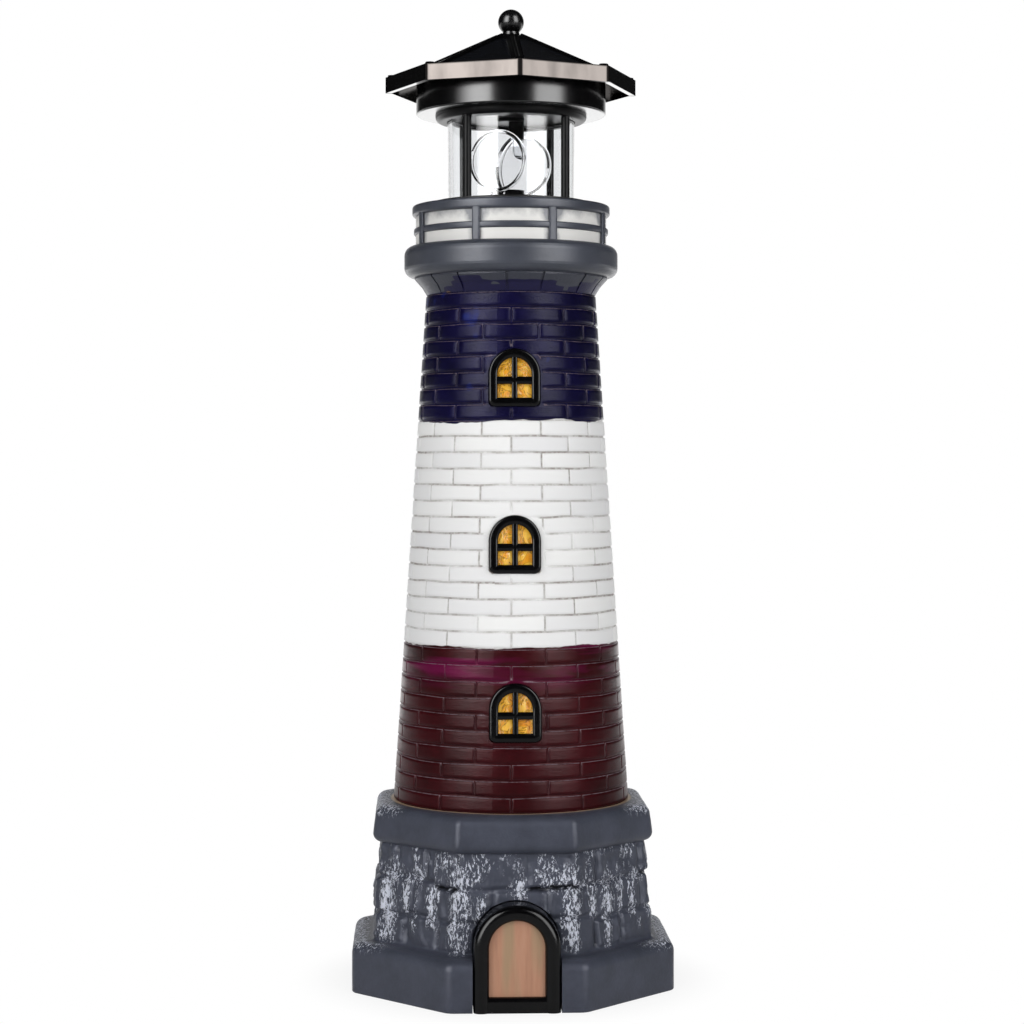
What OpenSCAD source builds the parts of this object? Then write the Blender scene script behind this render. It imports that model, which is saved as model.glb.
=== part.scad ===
// Garden lighthouse ornament with a solar lamp head whose lenses turn.
// Millimetres, +Z up, the front (door side) faces -Y, origin on the ground at the centre.

/* [Plinth] */
// Width of the ground slab across its flats
slab_across = 118.6; // [112:0.2:122]
// Height of the ground slab
slab_h = 18.5; // [17:0.5:20]
// Rounding of the slab's top edge
slab_round = 4; // [1:0.5:5]
// Width of the stone wall across its flats, at the bottom
wall_across_foot = 102; // [98:0.5:105]
// Width of the stone wall across its flats, at the top
wall_across_top = 96.5; // [94:0.5:98]
// Height of the stone wall
wall_h = 36; // [34:0.5:38]
// Number of stone courses in the wall
stone_courses = 3; // [3:1:4]
// Width of the gaps between the wall's stones
stone_gap = 1.1; // [0.8:0.1:1.5]
// Depth of the gaps between the wall's stones
stone_depth = 1.3; // [0.8:0.1:1.8]
// How far the proud stones stand out of the wall
stone_proud = 1.6; // [0.8:0.1:1.8]
// Width of the plinth cap across its flats
cap_across = 103; // [101:0.5:106]
// Height of the plinth cap
cap_h = 13.5; // [12:0.5:15]
// Rounding of the cap's edges
cap_round = 4; // [1:0.5:5]
// Thickness of the hollow plinth's walls
plinth_wall = 6; // [5:0.5:8]
// Thickness of the plinth under the tower
plinth_roof = 7; // [5:0.5:8]

/* [Door] */
// Overall width of the door frame
door_w = 31; // [28:0.5:34]
// Overall height of the door frame
door_h = 38; // [36:0.5:42]
// Width of the door frame's band
door_band = 5.3; // [4:0.1:6]
// Height of the sill under the door
sill_h = 5.5; // [4:0.5:7]
// How far the frame stands out in front of the slab
door_proud = 1; // [0.5:0.1:1.2]
// How far the door lies back inside its frame
door_recess = 3.2; // [2:0.1:4]
// How deep the frame is let into the stone wall
door_inlet = 2; // [1.5:0.1:3]

/* [Tower] */
// Diameter of the tower at its foot
tower_foot_d = 88.4; // [86:0.2:91]
// Diameter of the tower at its top
tower_top_d = 64; // [62:0.2:67]
// Height of one brick course
course_h = 5.9; // [5.7:0.05:6.1]
// Number of dark red courses
red_courses = 10; // [8:1:12]
// Number of white courses
white_courses = 14; // [13:1:16]
// Number of blue courses
blue_courses = 8; // [8:1:10]
// Number of bricks in a course
bricks = 10; // [8:1:12]
// Width of the joints between bricks
joint_w = 1; // [0.8:0.1:1.4]
// Depth of the joints between bricks
joint_depth = 0.7; // [0.5:0.1:1]
// Angle from the front to the nearest upright joint
joint_turn = -2; // [-6:1:6]
// Thickness of the tower shell
tower_wall = 6; // [5:0.5:7]

/* [Windows] */
// Width of a window frame
window_w = 18.4; // [17:0.2:20]
// Height of a window frame
window_h = 21; // [20:0.2:23]
// Width of the frame's bead
bead_w = 2.6; // [2:0.1:3]
// Width of the glazing bars
muntin_w = 1.9; // [1.4:0.1:2.4]
// Thickness of the frame's flat back under its bead
bead_back = 1.2; // [0.8:0.1:1.6]
// Thickness of the amber pane
pane_t = 1.8; // [1.4:0.1:2.2]
// How far a frame stands out of the brickwork
window_proud = 1.2; // [0.8:0.1:1.6]
// Gap round a frame in its recess
window_gap = 0.45; // [0.2:0.05:0.7]
// Height of the lower window's middle above the tower's foot
window_low = 36; // [33:0.5:39]
// Distance from one window's middle to the next
window_pitch = 60.5; // [57:0.5:62]

/* [Gallery] */
// Height of the corbel ring
corbel_h = 6.8; // [6:0.1:8]
// How far the corbels spread from the tower's edge
corbel_flare = 4.6; // [2:0.1:4.9]
// Number of pairs of corbel blocks, a wide one beside a narrow one
corbel_pairs = 7; // [5:1:8]
// Diameter of the deck
deck_d = 80.4; // [78:0.2:83]
// Thickness of the deck
deck_h = 11.7; // [11:0.1:13]
// Rounding of the deck's edges
deck_round = 3.5; // [2:0.1:4]
// Diameter over the railing's top rail
rail_d = 74.4; // [73:0.2:76]
// Height of the railing above the deck
rail_h = 15.2; // [14:0.1:16]
// Height of the top rail
top_rail_h = 4; // [3:0.1:4.5]
// Height of the middle rail
mid_rail_h = 2.5; // [1.8:0.1:2.8]
// Height of the middle rail's middle above the deck
mid_rail_z = 5.4; // [5:0.1:6.5]
// How far the middle rail lies behind the top rail
mid_rail_back = 0.6; // [0.3:0.1:0.9]
// How far the white parapet lies behind the top rail
parapet_back = 1.3; // [1.1:0.1:1.6]
// Thickness of the white parapet
parapet_t = 2.5; // [2:0.1:2.8]
// Number of railing posts
rail_posts = 8; // [6:1:12]
// Width of a railing post
rail_post_w = 3.1; // [2.6:0.1:3.6]

/* [Lamp base] */
// Diameter of the lamp base
lamp_d = 58.8; // [58:0.2:60]
// Height of the lamp base above the deck
lamp_h = 16.6; // [16.2:0.1:18]
// Thickness of the lamp base's side
lamp_wall = 2; // [1.6:0.1:2.2]
// Thickness of the lamp base's top
lamp_top = 2.4; // [2:0.1:2.8]
// Thickness of the cover under the lamp base
cover_t = 2; // [1.6:0.1:2.4]
// Diameter of the spigot that plugs into the deck
spigot_d = 30; // [26:0.5:34]
// Length of the spigot
spigot_h = 10; // [7:0.5:11]
// Thickness of the spigot's wall
spigot_wall = 2; // [1.6:0.1:2.4]
// Gap round the spigot in the deck
spigot_gap = 0.4; // [0.3:0.05:0.6]
// Number of cover screws
cover_screw_count = 3; // [3:1:4]
// Diameter of a cover screw's thread
screw_d = 2; // [1.8:0.1:2.2]

/* [Drive] */
// Teeth on the motor's pinion
pinion_teeth = 12; // [11:1:13]
// Teeth on the drive gear
gear_teeth = 48; // [46:1:50]
// Thickness of the gears
gear_t = 3; // [2.4:0.1:3.2]
// Play between the teeth in mesh
gear_play = 0.12; // [0.1:0.01:0.2]
// Diameter of the spindle
spindle_d = 4; // [3:0.1:5]
// Diameter of the motor's shaft
shaft_d = 2; // [1.5:0.1:2.4]
// Running gap round the spindle and the shaft
running_gap = 0.05; // [0.03:0.01:0.1]
// Diameter of the motor
motor_d = 15.5; // [14:0.1:16]
// Height of the motor
motor_h = 6.4; // [5.5:0.1:6.6]
// Gap between the motor and the lamp base's side
motor_gap = 1.53; // [1:0.01:2]
// Angle from the front to the motor
motor_turn = 98; // [85:1:105]

/* [Lantern] */
// Outer diameter of the glass chimney at the bottom
glass_foot_d = 47.2; // [46.6:0.1:47.6]
// Outer diameter of the glass chimney at the top
glass_top_d = 48; // [47.2:0.1:48.2]
// Thickness of the glass
glass_t = 1.5; // [1.2:0.1:1.8]
// Height of the chimney that shows, from the lamp base to the collar
lantern_h = 30.3; // [29:0.1:31.5]
// Depth of the grooves that the chimney stands in
glass_seat = 0.8; // [0.5:0.1:1]
// Gap round the glass in its grooves
glass_gap = 0.15; // [0.1:0.05:0.2]
// Diameter of the lantern posts
post_d = 3.2; // [3:0.1:3.3]
// Distance of the posts' middles in from the lamp base's edge
post_inset = 3.6; // [3.4:0.1:3.7]
// Angle from the front to the first lantern post
post_turn = 49; // [45:0.5:52]
// Diameter of the collar's lip
collar_d = 57; // [56.6:0.2:59]
// Thickness of the collar's lip
collar_h = 2.6; // [2.4:0.1:3]
// Rounding of the collar's lower edge
collar_round = 2; // [1:0.1:2.2]
// How far the collar's inner skirt hangs inside the glass
skirt_h = 1.6; // [1:0.1:2.2]
// Thickness of that skirt
skirt_t = 1.6; // [1.2:0.1:2]

/* [Beacon] */
// Angle from the front to the beam
beam_turn = -29.5; // [-45:0.5:45]
// Diameter of the turntable
turntable_d = 27; // [25:0.5:29]
// Thickness of the turntable
turntable_t = 1.4; // [1.2:0.1:1.5]
// Gap between the turntable and the lamp base
turntable_gap = 0.6; // [0.4:0.1:0.7]
// Diameter of the turntable's hub
hub_d = 10; // [8:0.5:11]
// Height of the hub above the turntable
hub_h = 2.6; // [2:0.1:3.5]
// Diameter of a lens
lens_d = 23.4; // [22:0.2:23.6]
// Thickness of a lens at its rim
lens_rim = 1.6; // [1.3:0.1:2]
// How far the middle of a lens bulges
lens_bulge = 2; // [1.2:0.1:2.4]
// Distance from the axis to a lens's flat back
lens_reach = 9.2; // [8:0.1:9.6]
// Height of the lenses above the turntable's underside
lens_lift = 2.5; // [1.6:0.1:3]
// Width of the foot under a lens
lens_foot_w = 8; // [6:0.5:9]

/* [Lamp] */
// Diameter of the LED holder
holder_d = 10; // [9:0.5:11]
// Length of the LED holder under the collar
holder_h = 6.6; // [5:0.1:7.5]
// Distance of the LED from the holder's middle
led_offset = 2; // [1:0.1:2.1]
// Diameter of the LED
led_d = 5; // [4.8:0.1:5.1]
// Length of the LED with its dome
led_h = 7.4; // [6.5:0.1:8]

/* [Housing] */
// Width of the housing's underside outside the collar
drum_ledge = 7.2; // [6.8:0.1:7.6]
// Thickness of the housing's side
drum_wall = 2; // [1.6:0.1:2.4]
// Thickness of the housing's floor
drum_floor = 2; // [1.6:0.1:2.4]
// Height of the housing from its floor to the roof
drum_h = 12; // [11.5:0.1:13]
// Diameter of the rechargeable cell
battery_d = 10.5; // [10:0.1:11]
// Length of the rechargeable cell
battery_l = 44.5; // [42:0.5:46]
// Distance of the cell from the housing's middle
battery_back = 7.4; // [7:0.1:8]
// How far the switch knob slides
switch_travel = 2.5; // [2:0.1:3]
// Width of the switch knob
knob_w = 3; // [2.5:0.1:3.5]

/* [Roof] */
// How far the roof's corners stand out past the housing
eaves_w = 11.6; // [10.8:0.1:12.4]
// Angle from the front to the nearest roof corner
roof_turn = 1.8; // [-3:0.1:5]
// Height of the fascia
fascia_h = 5.9; // [5.4:0.1:7]
// How far the fascia hangs below the soffit
eaves_h = 3.9; // [2.5:0.1:4.4]
// Thickness of the roof's shell
roof_t = 2.2; // [1.8:0.1:2.5]
// Width of the flat rim inside the fascia's corners
rim_w = 6.4; // [5:0.1:7]
// How far the corner tips rise above the rim
tip_h = 0.8; // [0.5:0.1:1.6]
// Width of a corner tip at its foot
tip_w = 5; // [3.5:0.1:5.5]
// Height of the pyramid
pyramid_h = 16.5; // [15.5:0.1:17.5]
// Radius of the pyramid's top
apex_r = 3.7; // [3.4:0.1:4]
// Thickness of the hip ribs
rib_d = 1.6; // [1.2:0.1:2]
// Thickness of a solar cell
cell_t = 1; // [0.8:0.1:1.2]
// Width of the roof left round a solar cell
cell_margin = 2.4; // [2:0.1:3]
// Diameter of the ball finial
ball_d = 9.7; // [9:0.1:10.5]

/* [Hidden] */
$fn = 96;
// An octagon's side count and half angle
sides = 8;
half_side = 180 / sides;
// A cut runs past the face that it leaves through by this much
past = 1;

// Heights of the stacked pieces
wall_z = slab_h;
cap_z = wall_z + wall_h;
tower_z = cap_z + cap_h;
courses = red_courses + white_courses + blue_courses;
tower_h = courses * course_h;
corbel_z = tower_z + tower_h;
deck_z = corbel_z + corbel_h;
gallery_z = deck_z + deck_h;
lamp_z = gallery_z + lamp_h;
collar_z = lamp_z + lantern_h;
drum_z = collar_z + collar_h;
soffit_z = drum_z + drum_h;
fascia_z = soffit_z - eaves_h;
rim_z = fascia_z + fascia_h;
apex_z = rim_z + pyramid_h;

// The tower narrows by this much of its radius for each unit of height
tower_slope = (tower_foot_d - tower_top_d) / 2 / tower_h;
tower_tilt = atan(tower_slope);
function tower_r(z) = tower_foot_d / 2 - tower_slope * z;
upright_depth = joint_depth * 0.75;
wall_tilt = atan((wall_across_foot - wall_across_top) / 2 / wall_h);

// Chamfer under the slab, and how much narrower the cap is at its top
slab_edge = 0.6;
cap_draft = 0.8;
// The cap's lower edge is rounded a little less than its upper one, so that it clears the wall
cap_foot_round = cap_round - 0.8;
// Plinth hollow
hollow_across = wall_across_top - 2 * (plinth_wall + stone_depth);
// Door
door_front = slab_across / 2 + door_proud;
door_back = wall_across_top / 2 - door_inlet;
// Gear drive: the motor stands close to the lamp base's side, and the module follows from
// the distance between the spindle and the motor's shaft
gear_distance = lamp_d / 2 - lamp_wall - motor_gap - motor_d / 2;
gear_module = 2 * (gear_distance - gear_play) / (gear_teeth + pinion_teeth);
// Gap over the gears, and the height of the drive gear's hub under it
gear_top_gap = 1.2;
gear_hub_h = 2;
gear_z = lamp_z - lamp_top - gear_top_gap - gear_t;
cover_z = gallery_z + cover_t;
bearing_d = spindle_d + 4;
bearing_h = 4.5;
bearing_floor = 1.2;
// Lantern
post_r = lamp_d / 2 - post_inset;
glass_z = lamp_z - glass_seat;
glass_end = collar_z + glass_seat;
post_count = 4;
post_bore = 1.7;
post_seat = 1.2;
// Beacon
turntable_z = lamp_z + turntable_gap;
lens_bottom = turntable_z + lens_lift;
lens_z = lens_bottom + lens_d / 2;
// Housing and roof
drum_d = collar_d + 2 * drum_ledge;
roof_r = drum_d / 2 + eaves_w;
// Roof pyramid: slope down a hip and down the middle of a face
rim_r = roof_r - rim_w;
hip_slope = pyramid_h / (rim_r - apex_r);
face_slope = hip_slope / cos(half_side);
face_tilt = atan(face_slope);
hip_tilt = atan(hip_slope);

// Points of an arc round [cx, cz] from angle a0 to a1
function arc(cx, cz, r, a0, a1, steps = 6) =
  [for (i = [0:steps]) let (a = a0 + (a1 - a0) * i / steps) [cx + r * cos(a), cz + r * sin(a)]];

// The radius to the corners of an octagon of a given width across its flats
function corner_r(across) = across / 2 / cos(half_side);

// An octagonal body turned from a profile of [corner radius, height], a flat facing the front
module octagonal(profile) {
  rotate([0, 0, half_side]) rotate_extrude($fn = sides) polygon(profile);
}

// Turns its children to an angle from the front, towards +X
module facing(turn) {
  rotate([0, 0, turn]) children();
}

// An arched outline of a given width and height, standing on its foot, grown by a margin
module arch(w, h, grow = 0) {
  translate([-w / 2 - grow, -grow]) square([w + 2 * grow, h - w / 2 + grow]);
  translate([0, h - w / 2]) circle(r = w / 2 + grow);
}

// Half of a bead's section: a flat back of a given depth under a half round
function bead(w, back) = concat([[w / 2, -back]], arc(0, 0, w / 2, 0, 180, 8), [[-w / 2, -back]]);

// A straight bead from the origin along +X
module straight_bead(w, back, length) {
  rotate([90, 0, 90]) linear_extrude(length) polygon([for (p = bead(w, back)) [p[0], p[1]]]);
}

// ---------- Plinth ----------

// Share of a face's length at which a course's upright gaps lie
function stone_split(face, course) = [
  0.24 + 0.1 * sin(course * 137 + face * 83),
  0.62 + 0.12 * sin(course * 71 + face * 151)];

module stone_gaps() {
  stone_h = wall_h / stone_courses;
  for (course = [1:stone_courses - 1]) {
    z = wall_z + course * stone_h;
    share = course / stone_courses;
    across = wall_across_foot + (wall_across_top - wall_across_foot) * share;
    r = corner_r(across);
    octagonal([
      [r - stone_depth, z - stone_gap / 2], [r + past, z - stone_gap / 2],
      [r + past, z + stone_gap / 2], [r - stone_depth, z + stone_gap / 2]]);
  }
  for (face = [0:sides - 1]) {
    for (course = [0:stone_courses - 1]) {
      share = (course + 0.5) / stone_courses;
      across = wall_across_foot + (wall_across_top - wall_across_foot) * share;
      side = across * tan(half_side);
      for (split = stone_split(face, course)) {
        facing(face * 360 / sides)
          translate([(split - 0.5) * side - stone_gap / 2, -across / 2 - past - 1, wall_z + course * stone_h])
            cube([stone_gap, stone_depth + past + 1, stone_h]);
      }
    }
  }
}

// Stones that stand proud of the wall, as [face, course, shares of the face's length], and the
// margin between such a stone and the gap over or under it
stone_margin = 0.3;
proud_stones = [
  [6, 1, 0.02, 0.5], [6, 2, 0.02, 0.3], [2, 0, 0.7, 0.98], [7, 2, 0.05, 0.3], [1, 1, 0.72, 0.97]];

module proud_stone(stone) {
  stone_h = wall_h / stone_courses;
  across = wall_across_foot - (wall_across_foot - wall_across_top) * stone[1] / stone_courses;
  side = across * tan(half_side);
  edge = stone_gap / 2 + stone_margin;
  facing(stone[0] * 360 / sides)
    translate([(stone[2] - 0.5) * side, -across / 2, wall_z + stone[1] * stone_h + edge])
      rotate([-wall_tilt, 0, 0]) translate([0, -stone_proud, 0])
        cube([(stone[3] - stone[2]) * side, stone_proud + 2, stone_h - 2 * edge]);
}

module plinth() {
  slab_r = corner_r(slab_across);
  cap_r = corner_r(cap_across);
  hollow_r = corner_r(hollow_across);
  color("#4a4d56") difference() {
    union() {
      octagonal(concat(
        [[0, 0], [slab_r - slab_edge, 0], [slab_r, slab_edge]],
        arc(slab_r - slab_round, slab_h - slab_round, slab_round, 0, 90),
        [[corner_r(wall_across_foot), wall_z], [corner_r(wall_across_top), cap_z]],
        arc(cap_r - cap_foot_round, cap_z + cap_foot_round, cap_foot_round, -90, 0),
        arc(cap_r - cap_draft - cap_round, tower_z - cap_round, cap_round, 0, 90),
        [[0, tower_z]]));
      for (stone = proud_stones) {
        proud_stone(stone);
      }
    }
    octagonal([
      [0, -past], [hollow_r, -past], [hollow_r, cap_z - plinth_wall],
      [hollow_r - plinth_wall, tower_z - plinth_roof], [0, tower_z - plinth_roof]]);
    stone_gaps();
    translate([0, -door_back, 0]) rotate([90, 0, 0]) linear_extrude(slab_across)
      translate([0, -past]) arch(door_w, door_h + past, window_gap);
  }
}

// ---------- Door ----------

module door_outline_bead() {
  r = door_w / 2 - door_band / 2;
  spring = door_h - door_w / 2;
  for (side = [-1, 1]) {
    translate([side * r, 0, 0]) linear_extrude(spring) rotate([0, 0, 180]) polygon(bead(door_band, 0.5));
  }
  translate([0, 0, spring]) rotate([90, 0, 0]) rotate_extrude(angle = 180)
    translate([r, 0]) polygon(bead(door_band, 0.5));
}

module door_frame() {
  front = door_front - door_band / 2;
  color("#17171a") {
    translate([0, -door_back, 0]) rotate([90, 0, 0]) linear_extrude(front - door_back) difference() {
      arch(door_w, door_h);
      translate([0, sill_h]) arch(door_w - 2 * door_band, door_h - sill_h - door_band);
    }
    translate([0, -front, 0]) door_outline_bead();
    translate([-door_w / 2, -front - 1.6, 0]) cube([door_w, 2, sill_h]);
  }
}

module door_panel() {
  w = door_w - 2 * door_band;
  h = door_h - sill_h - door_band;
  depth = door_front - door_recess - door_back;
  color("#b5866b") translate([0, -door_back, sill_h]) rotate([90, 0, 0])
    linear_extrude(depth) arch(w, h);
}

// ---------- Tower ----------

// Outline of the brickwork from foot to top, with a groove under every course
function course_points(i) = let (
    z0 = i * course_h,
    z1 = z0 + course_h)
  [
    [tower_r(z0) - joint_depth, z0],
    [tower_r(z0 + joint_w / 2), z0 + joint_w / 2],
    [tower_r(z1 - joint_w / 2), z1 - joint_w / 2]];

// Comb of teeth that cuts one upright line of joints through every second course. A tooth
// ends inside the grooves over and under its course and is a little shallower than they are.
function comb_points(parity) = [
  for (i = [parity:2:courses - 2])
    let (z0 = i * course_h + joint_w / 10, z1 = (i + 1) * course_h - joint_w / 10)
    each [
      [tower_r(z0) + past, z0], [tower_r(z0) - upright_depth, z0],
      [tower_r(z1) - upright_depth, z1], [tower_r(z1) + past, z1]]];

module upright_joints() {
  step = 360 / bricks;
  for (parity = [0, 1]) {
    comb = concat(
      [[tower_foot_d / 2 + 2 * past, 0]], comb_points(parity), [[tower_foot_d / 2 + 2 * past, tower_h]]);
    for (i = [0:bricks - 1]) {
      facing(joint_turn + (i + parity / 2) * step) rotate([0, 0, -90]) rotate([90, 0, 0])
        linear_extrude(joint_w, center = true) polygon(comb);
    }
  }
}

module tower_shell() {
  inner_foot = tower_foot_d / 2 - tower_wall;
  inner_top = tower_top_d / 2 - tower_wall;
  color("#d8d6d2") difference() {
    translate([0, 0, tower_z]) difference() {
      rotate_extrude() polygon(concat(
        [[inner_foot, 0]],
        [for (i = [0:courses - 1]) each course_points(i)],
        [[tower_r(tower_h) - joint_depth, tower_h], [inner_top, tower_h]]));
      upright_joints();
    }
    for (i = [0:2]) {
      in_window(i) rotate([90, 0, 0]) translate([0, 0, -window_pocket])
        linear_extrude(window_pocket + 3) arch(window_w, window_h, window_gap);
    }
  }
}

// ---------- Windows ----------

// Depth of a window's recess below the brick face
window_pocket = pane_t + bead_back + bead_w / 2 - window_proud;

// Moves its children to the foot of a window, on the brick face and leaning with it
module in_window(i) {
  z = window_low + i * window_pitch;
  translate([0, -tower_r(z), tower_z + z]) rotate([-tower_tilt, 0, 0]) translate([0, 0, -window_h / 2])
    children();
}

module window_frame(i) {
  r = window_w / 2 - bead_w / 2;
  spring = window_h - window_w / 2;
  middle = window_h / 2 - 1;
  top = window_h - bead_w;
  color("#141416") in_window(i) translate([0, -window_proud + bead_w / 2, 0]) {
    for (x = [-r, r]) {
      translate([x, 0, 0]) linear_extrude(spring) rotate([0, 0, 180]) polygon(bead(bead_w, bead_back));
    }
    translate([0, 0, spring]) rotate([90, 0, 0]) rotate_extrude(angle = 180)
      translate([r, 0]) polygon(bead(bead_w, bead_back));
    translate([-window_w / 2, 0, bead_w / 2]) rotate([90, 0, 0]) straight_bead(bead_w, bead_back, window_w);
    translate([0, 0, bead_w / 2]) linear_extrude(top - bead_w / 2 + 0.5)
      rotate([0, 0, 180]) polygon(bead(muntin_w, bead_back));
    translate([-r, 0, middle]) rotate([90, 0, 0]) straight_bead(muntin_w, bead_back, 2 * r);
  }
}

module window_pane(i) {
  color("#f0a818") in_window(i) translate([0, window_pocket, 0]) rotate([90, 0, 0])
    linear_extrude(pane_t) arch(window_w, window_h);
}

module window_frame_lower() { window_frame(0); }
module window_frame_middle() { window_frame(1); }
module window_frame_upper() { window_frame(2); }
module window_pane_lower() { window_pane(0); }
module window_pane_middle() { window_pane(1); }
module window_pane_upper() { window_pane(2); }

// ---------- Gallery ----------

module spigot_hole(z, h) {
  translate([0, 0, z - past]) cylinder(d = spigot_d + 2 * spigot_gap, h = h + 2 * past);
}

// Step in from the tower's top edge to the corbels, the angle of the first seam, and the
// wide block's share of a pair
corbel_step = 0.3;
corbel_turn = 17;
wide_share = 0.58;

module corbel_ring() {
  foot = tower_top_d / 2 - corbel_step;
  pair = 360 / corbel_pairs;
  outline = [
    [foot, 0], [foot + corbel_flare * 0.4, corbel_h * 0.45],
    [foot + corbel_flare, corbel_h * 0.9], [foot + corbel_flare, corbel_h]];
  groove = concat(
    [for (p = outline) [p[0] - joint_depth, p[1] == 0 ? -past : p[1]]],
    [[deck_d / 2, corbel_h], [deck_d / 2, -past]]);
  color("#3f424c") difference() {
    translate([0, 0, corbel_z]) rotate_extrude() polygon(concat([[0, 0]], outline, [[0, corbel_h]]));
    spigot_hole(corbel_z, corbel_h);
    for (i = [0:corbel_pairs - 1]) {
      for (seam = [0, wide_share]) {
        facing(corbel_turn + (i + seam) * pair) translate([0, 0, corbel_z]) rotate([0, 0, -90])
          rotate([90, 0, 0]) linear_extrude(joint_w, center = true) polygon(groove);
      }
    }
  }
}

module gallery_deck() {
  r = deck_d / 2;
  color("#4a4d56") difference() {
    translate([0, 0, deck_z]) rotate_extrude() polygon(concat(
      [[0, 0]],
      arc(r - deck_round, deck_round, deck_round, -90, 0),
      arc(r - deck_round, deck_h - deck_round, deck_round, 0, 90),
      [[0, deck_h]]));
    spigot_hole(deck_z, deck_h);
  }
}

parapet_r = rail_d / 2 - parapet_back;

module parapet_wall() {
  color("#dcdad4") translate([0, 0, gallery_z]) difference() {
    cylinder(r = parapet_r, h = rail_h - top_rail_h);
    translate([0, 0, -past]) cylinder(r = parapet_r - parapet_t, h = rail_h + 2 * past);
  }
}

module ring(r_out, r_in, h) {
  difference() {
    cylinder(r = r_out, h = h);
    translate([0, 0, -past]) cylinder(r = r_in, h = h + 2 * past);
  }
}

// Rounding of the top rail's edges
rail_round = 0.8;

module gallery_railing() {
  hold = parapet_r + 0.05;
  top_z = gallery_z + rail_h - top_rail_h;
  color("#4a4d56") {
    translate([0, 0, top_z]) rotate_extrude() polygon(concat(
      [[parapet_r - parapet_t, 0]],
      arc(rail_d / 2 - rail_round, rail_round, rail_round, -90, 0, 4),
      arc(rail_d / 2 - rail_round, top_rail_h - rail_round, rail_round, 0, 90, 4),
      [[parapet_r - parapet_t, top_rail_h]]));
    translate([0, 0, gallery_z + mid_rail_z - mid_rail_h / 2])
      ring(rail_d / 2 - mid_rail_back, hold, mid_rail_h);
    difference() {
      for (i = [0:rail_posts - 1]) {
        facing((i + 0.5) * 360 / rail_posts) translate([-rail_post_w / 2, -rail_d / 2 + 0.1, gallery_z])
          cube([rail_post_w, parapet_back + 2, rail_h - top_rail_h / 2]);
      }
      translate([0, 0, gallery_z - past]) cylinder(r = hold, h = rail_h - top_rail_h + past);
    }
  }
}

// ---------- Lamp base ----------

screw_r = lamp_d / 2 - lamp_wall - 3.4;
screw_turn = 62;
boss_d = 5;
// The heads sit in recesses a little deeper than they are
screw_sink = 0.9;
screw_head = 0.75;
screw_l = 6;

module at_screws() {
  for (i = [0:cover_screw_count - 1]) {
    facing(screw_turn + i * 360 / cover_screw_count) translate([0, -screw_r, 0]) children();
  }
}

module at_posts() {
  for (i = [0:post_count - 1]) {
    facing(post_turn + i * 360 / post_count) translate([0, -post_r, 0]) children();
  }
}

module glass_groove(z, r_mid, h) {
  translate([0, 0, z]) ring(r_mid + glass_t / 2 + glass_gap, r_mid - glass_t / 2 - glass_gap, h);
}

module lamp_base() {
  inner_r = lamp_d / 2 - lamp_wall;
  color("#1a1b1e") difference() {
    union() {
      translate([0, 0, gallery_z]) ring(lamp_d / 2, inner_r, lamp_h);
      translate([0, 0, lamp_z - lamp_top]) cylinder(d = lamp_d - lamp_wall / 2, h = lamp_top);
      at_screws() translate([0, 0, cover_z]) cylinder(d = boss_d, h = lamp_z - lamp_top / 2 - cover_z);
    }
    translate([0, 0, lamp_z - lamp_h]) cylinder(d = spindle_d + 2 * running_gap, h = lamp_h + past);
    glass_groove(glass_z, glass_foot_d / 2 - glass_t / 2, glass_seat + past);
    at_posts() translate([0, 0, lamp_z - lamp_top - past]) cylinder(d = post_bore, h = lamp_top + 2 * past);
    at_posts() translate([0, 0, lamp_z - post_seat])
      cylinder(d = post_d + 2 * glass_gap, h = post_seat + past);
    at_screws() translate([0, 0, cover_z - past]) cylinder(d = screw_d, h = screw_l + 2 * past);
  }
}

module lamp_base_cover() {
  color("#1a1b1e") difference() {
    union() {
      translate([0, 0, gallery_z]) cylinder(r = lamp_d / 2 - lamp_wall - 0.15, h = cover_t);
      translate([0, 0, gallery_z - spigot_h])
        ring(spigot_d / 2, spigot_d / 2 - spigot_wall, spigot_h + cover_t / 2);
      translate([0, 0, gallery_z]) cylinder(d = bearing_d, h = cover_t + bearing_h);
    }
    translate([0, 0, gallery_z + bearing_floor])
      cylinder(d = spindle_d + 2 * running_gap, h = cover_t + bearing_h);
    at_screws() translate([0, 0, gallery_z - past]) cylinder(d = screw_d + 0.4, h = cover_t + 2 * past);
    at_screws() translate([0, 0, gallery_z - past]) cylinder(d = screw_d * 2 + 0.3, h = screw_sink + past);
  }
}

module cover_screws() {
  color("#9a9ca0") at_screws() {
    translate([0, 0, gallery_z + screw_sink - screw_head]) cylinder(d = screw_d * 2, h = screw_head);
    translate([0, 0, gallery_z + screw_sink]) cylinder(d = screw_d, h = screw_l);
  }
}

// Height above the motor's foot at which the bore for its shaft ends
shaft_floor = 2;

module motor_case() {
  color("#a8aaad") facing(motor_turn) translate([0, -gear_distance, cover_z]) difference() {
    union() {
      cylinder(d = motor_d, h = motor_h);
      cylinder(d = shaft_d + 3, h = motor_h + 0.6);
    }
    translate([0, 0, shaft_floor]) cylinder(d = shaft_d + 2 * running_gap, h = motor_h + past);
  }
}

wire_d = 1.1;
// Heights at which the wires cross the lamp base and the housing
wire_low_z = cover_z + motor_h - 0.8;
wire_high_z = drum_z + drum_floor + 1;
// Routes in plan, as chosen points: from the motor to the post, and from the post to the board
red_wire_low = [[15.6, -5.2], [12.5, -8]];
red_wire_high = [[28, -15.5], [28, 9], [15.3, 12]];
black_wire_low = [[17.8, 10.6]];
black_wire_high = [[15.3, 17]];

function post_place(i) = let (turn = post_turn + i * 360 / post_count)
  [post_r * sin(turn), -post_r * cos(turn)];
function lift(points, z) = [for (p = points) [p[0], p[1], z]];

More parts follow.
